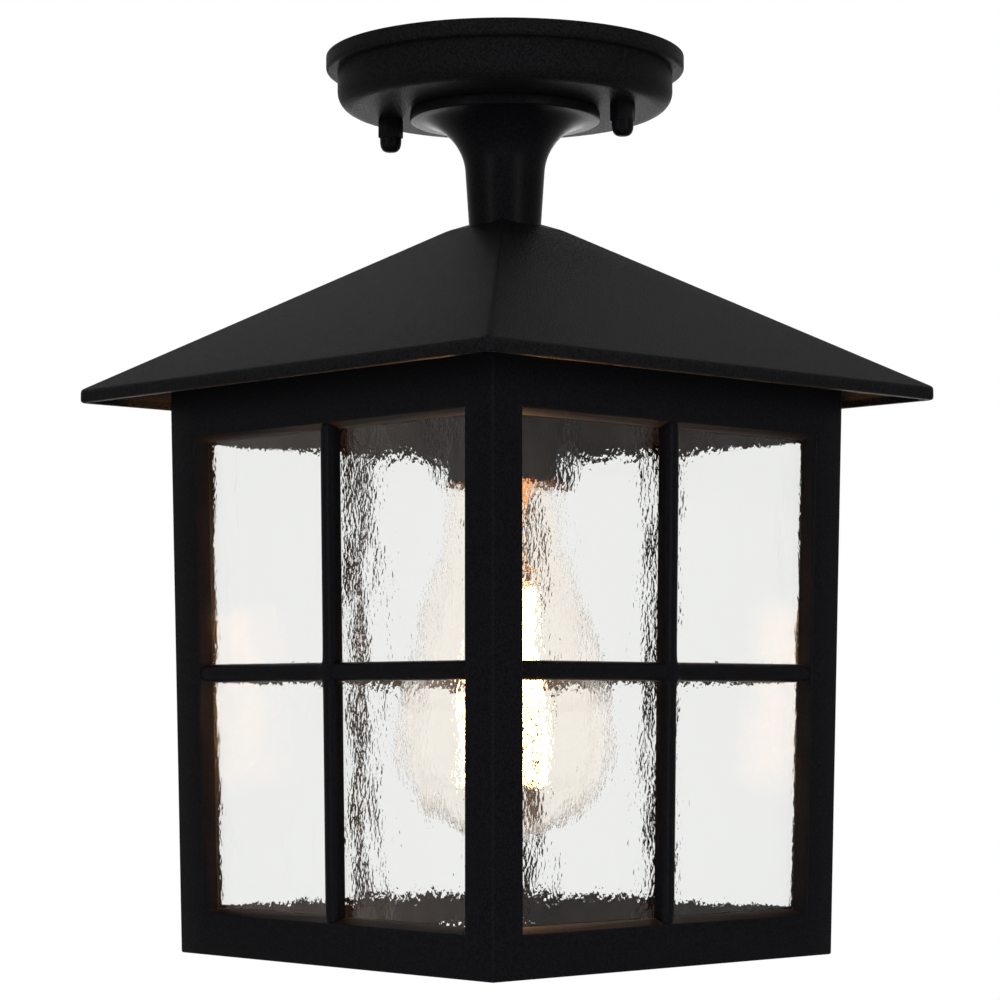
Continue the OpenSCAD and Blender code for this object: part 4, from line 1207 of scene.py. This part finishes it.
# %% Materials of the small pieces
dark_steel = grained("darkened steel", (0.016, 0.016, 0.017), (0.026, 0.026, 0.027),
                     (0.35, 0.5), 900, 0.15, metallic=1.0)
bright_steel = grained("zinc plated steel", (0.42, 0.43, 0.44), (0.55, 0.56, 0.57),
                       (0.3, 0.45), 900, 0.12, metallic=1.0)
brass = grained("brass", (0.6, 0.42, 0.17), (0.72, 0.52, 0.24),
                (0.22, 0.34), 800, 0.08, metallic=1.0)
nickel = grained("nickel plate", (0.5, 0.48, 0.45), (0.62, 0.6, 0.56),
                 (0.18, 0.3), 900, 0.06, metallic=1.0)
solder = grained("solder", (0.38, 0.38, 0.39), (0.5, 0.5, 0.51),
                 (0.3, 0.5), 1200, 0.3, metallic=1.0)
ceramic = grained("white glazed ceramic", (0.68, 0.66, 0.61), (0.76, 0.74, 0.69),
                  (0.12, 0.24), 300, 0.05)
rubber = grained("black rubber", (0.014, 0.014, 0.014), (0.022, 0.022, 0.022),
                 (0.7, 0.85), 1500, 0.3)
black_glass = grained("black insulating glass", (0.01, 0.01, 0.011), (0.016, 0.016, 0.017),
                      (0.08, 0.2), 500, 0.05)


def sleeve(name, dark, pale):
    """The soft plastic sleeve of a wire."""
    return grained(name, dark, pale, (0.35, 0.5), 900, 0.1)


brown_sleeve = sleeve("brown sleeve", (0.13, 0.06, 0.03), (0.17, 0.08, 0.04))
blue_sleeve = sleeve("blue sleeve", (0.03, 0.1, 0.34), (0.04, 0.13, 0.42))
green_sleeve = sleeve("green sleeve", (0.05, 0.26, 0.06), (0.08, 0.34, 0.09))

# %% What each small piece is made of
made_of = {
    dark_steel: ["glass_clips", "clip_screws"],
    bright_steel: ["mounting_strap", "canopy_studs", "stud_nuts", "terminal_screws",
                   "threaded_tube", "tube_nuts", "tube_washers", "roof_screws",
                   "lampholder_screws"],
    brass: ["earth_screw", "lampholder_shell", "lampholder_contact"],
    nickel: ["bulb_cap", "filament_wires"],
    solder: ["bulb_contact"],
    ceramic: ["terminal_block", "lampholder_core"],
    rubber: ["canopy_gasket"],
    black_glass: ["bulb_insulator"],
    stem_glass: ["bulb_stem"],
    brown_sleeve: ["live_wire"],
    blue_sleeve: ["neutral_wire"],
    green_sleeve: ["earth_wire"],
}
for material, node_names in made_of.items():
    for node_name in node_names:
        piece = bpy.data.objects[node_name]
        piece.data.materials.clear()
        piece.data.materials.append(material)
        only(piece)
        bpy.ops.object.shade_smooth_by_angle(angle=math.radians(30))
    print(material.name + ":", ", ".join(node_names))

# %% [markdown]
# ## The floor
# The lantern hangs high, so the plain pale floor is far below it. It belongs to the room and not
# to the part. The background is the world's, so the floor is finite.

# %% Floor
floor_w = 3.6
floor_z = -1.5
nothing_selected()
bpy.ops.mesh.primitive_plane_add(size=floor_w, location=(0, 0, floor_z))
floor = bpy.context.object
floor.name = "floor"
floor_paint = grained("pale floor", (0.9, 0.9, 0.89), (0.94, 0.94, 0.93), (0.6, 0.8), 60, 0.02)
floor.data.materials.append(floor_paint)
print("floor at", floor.location.z, "m")
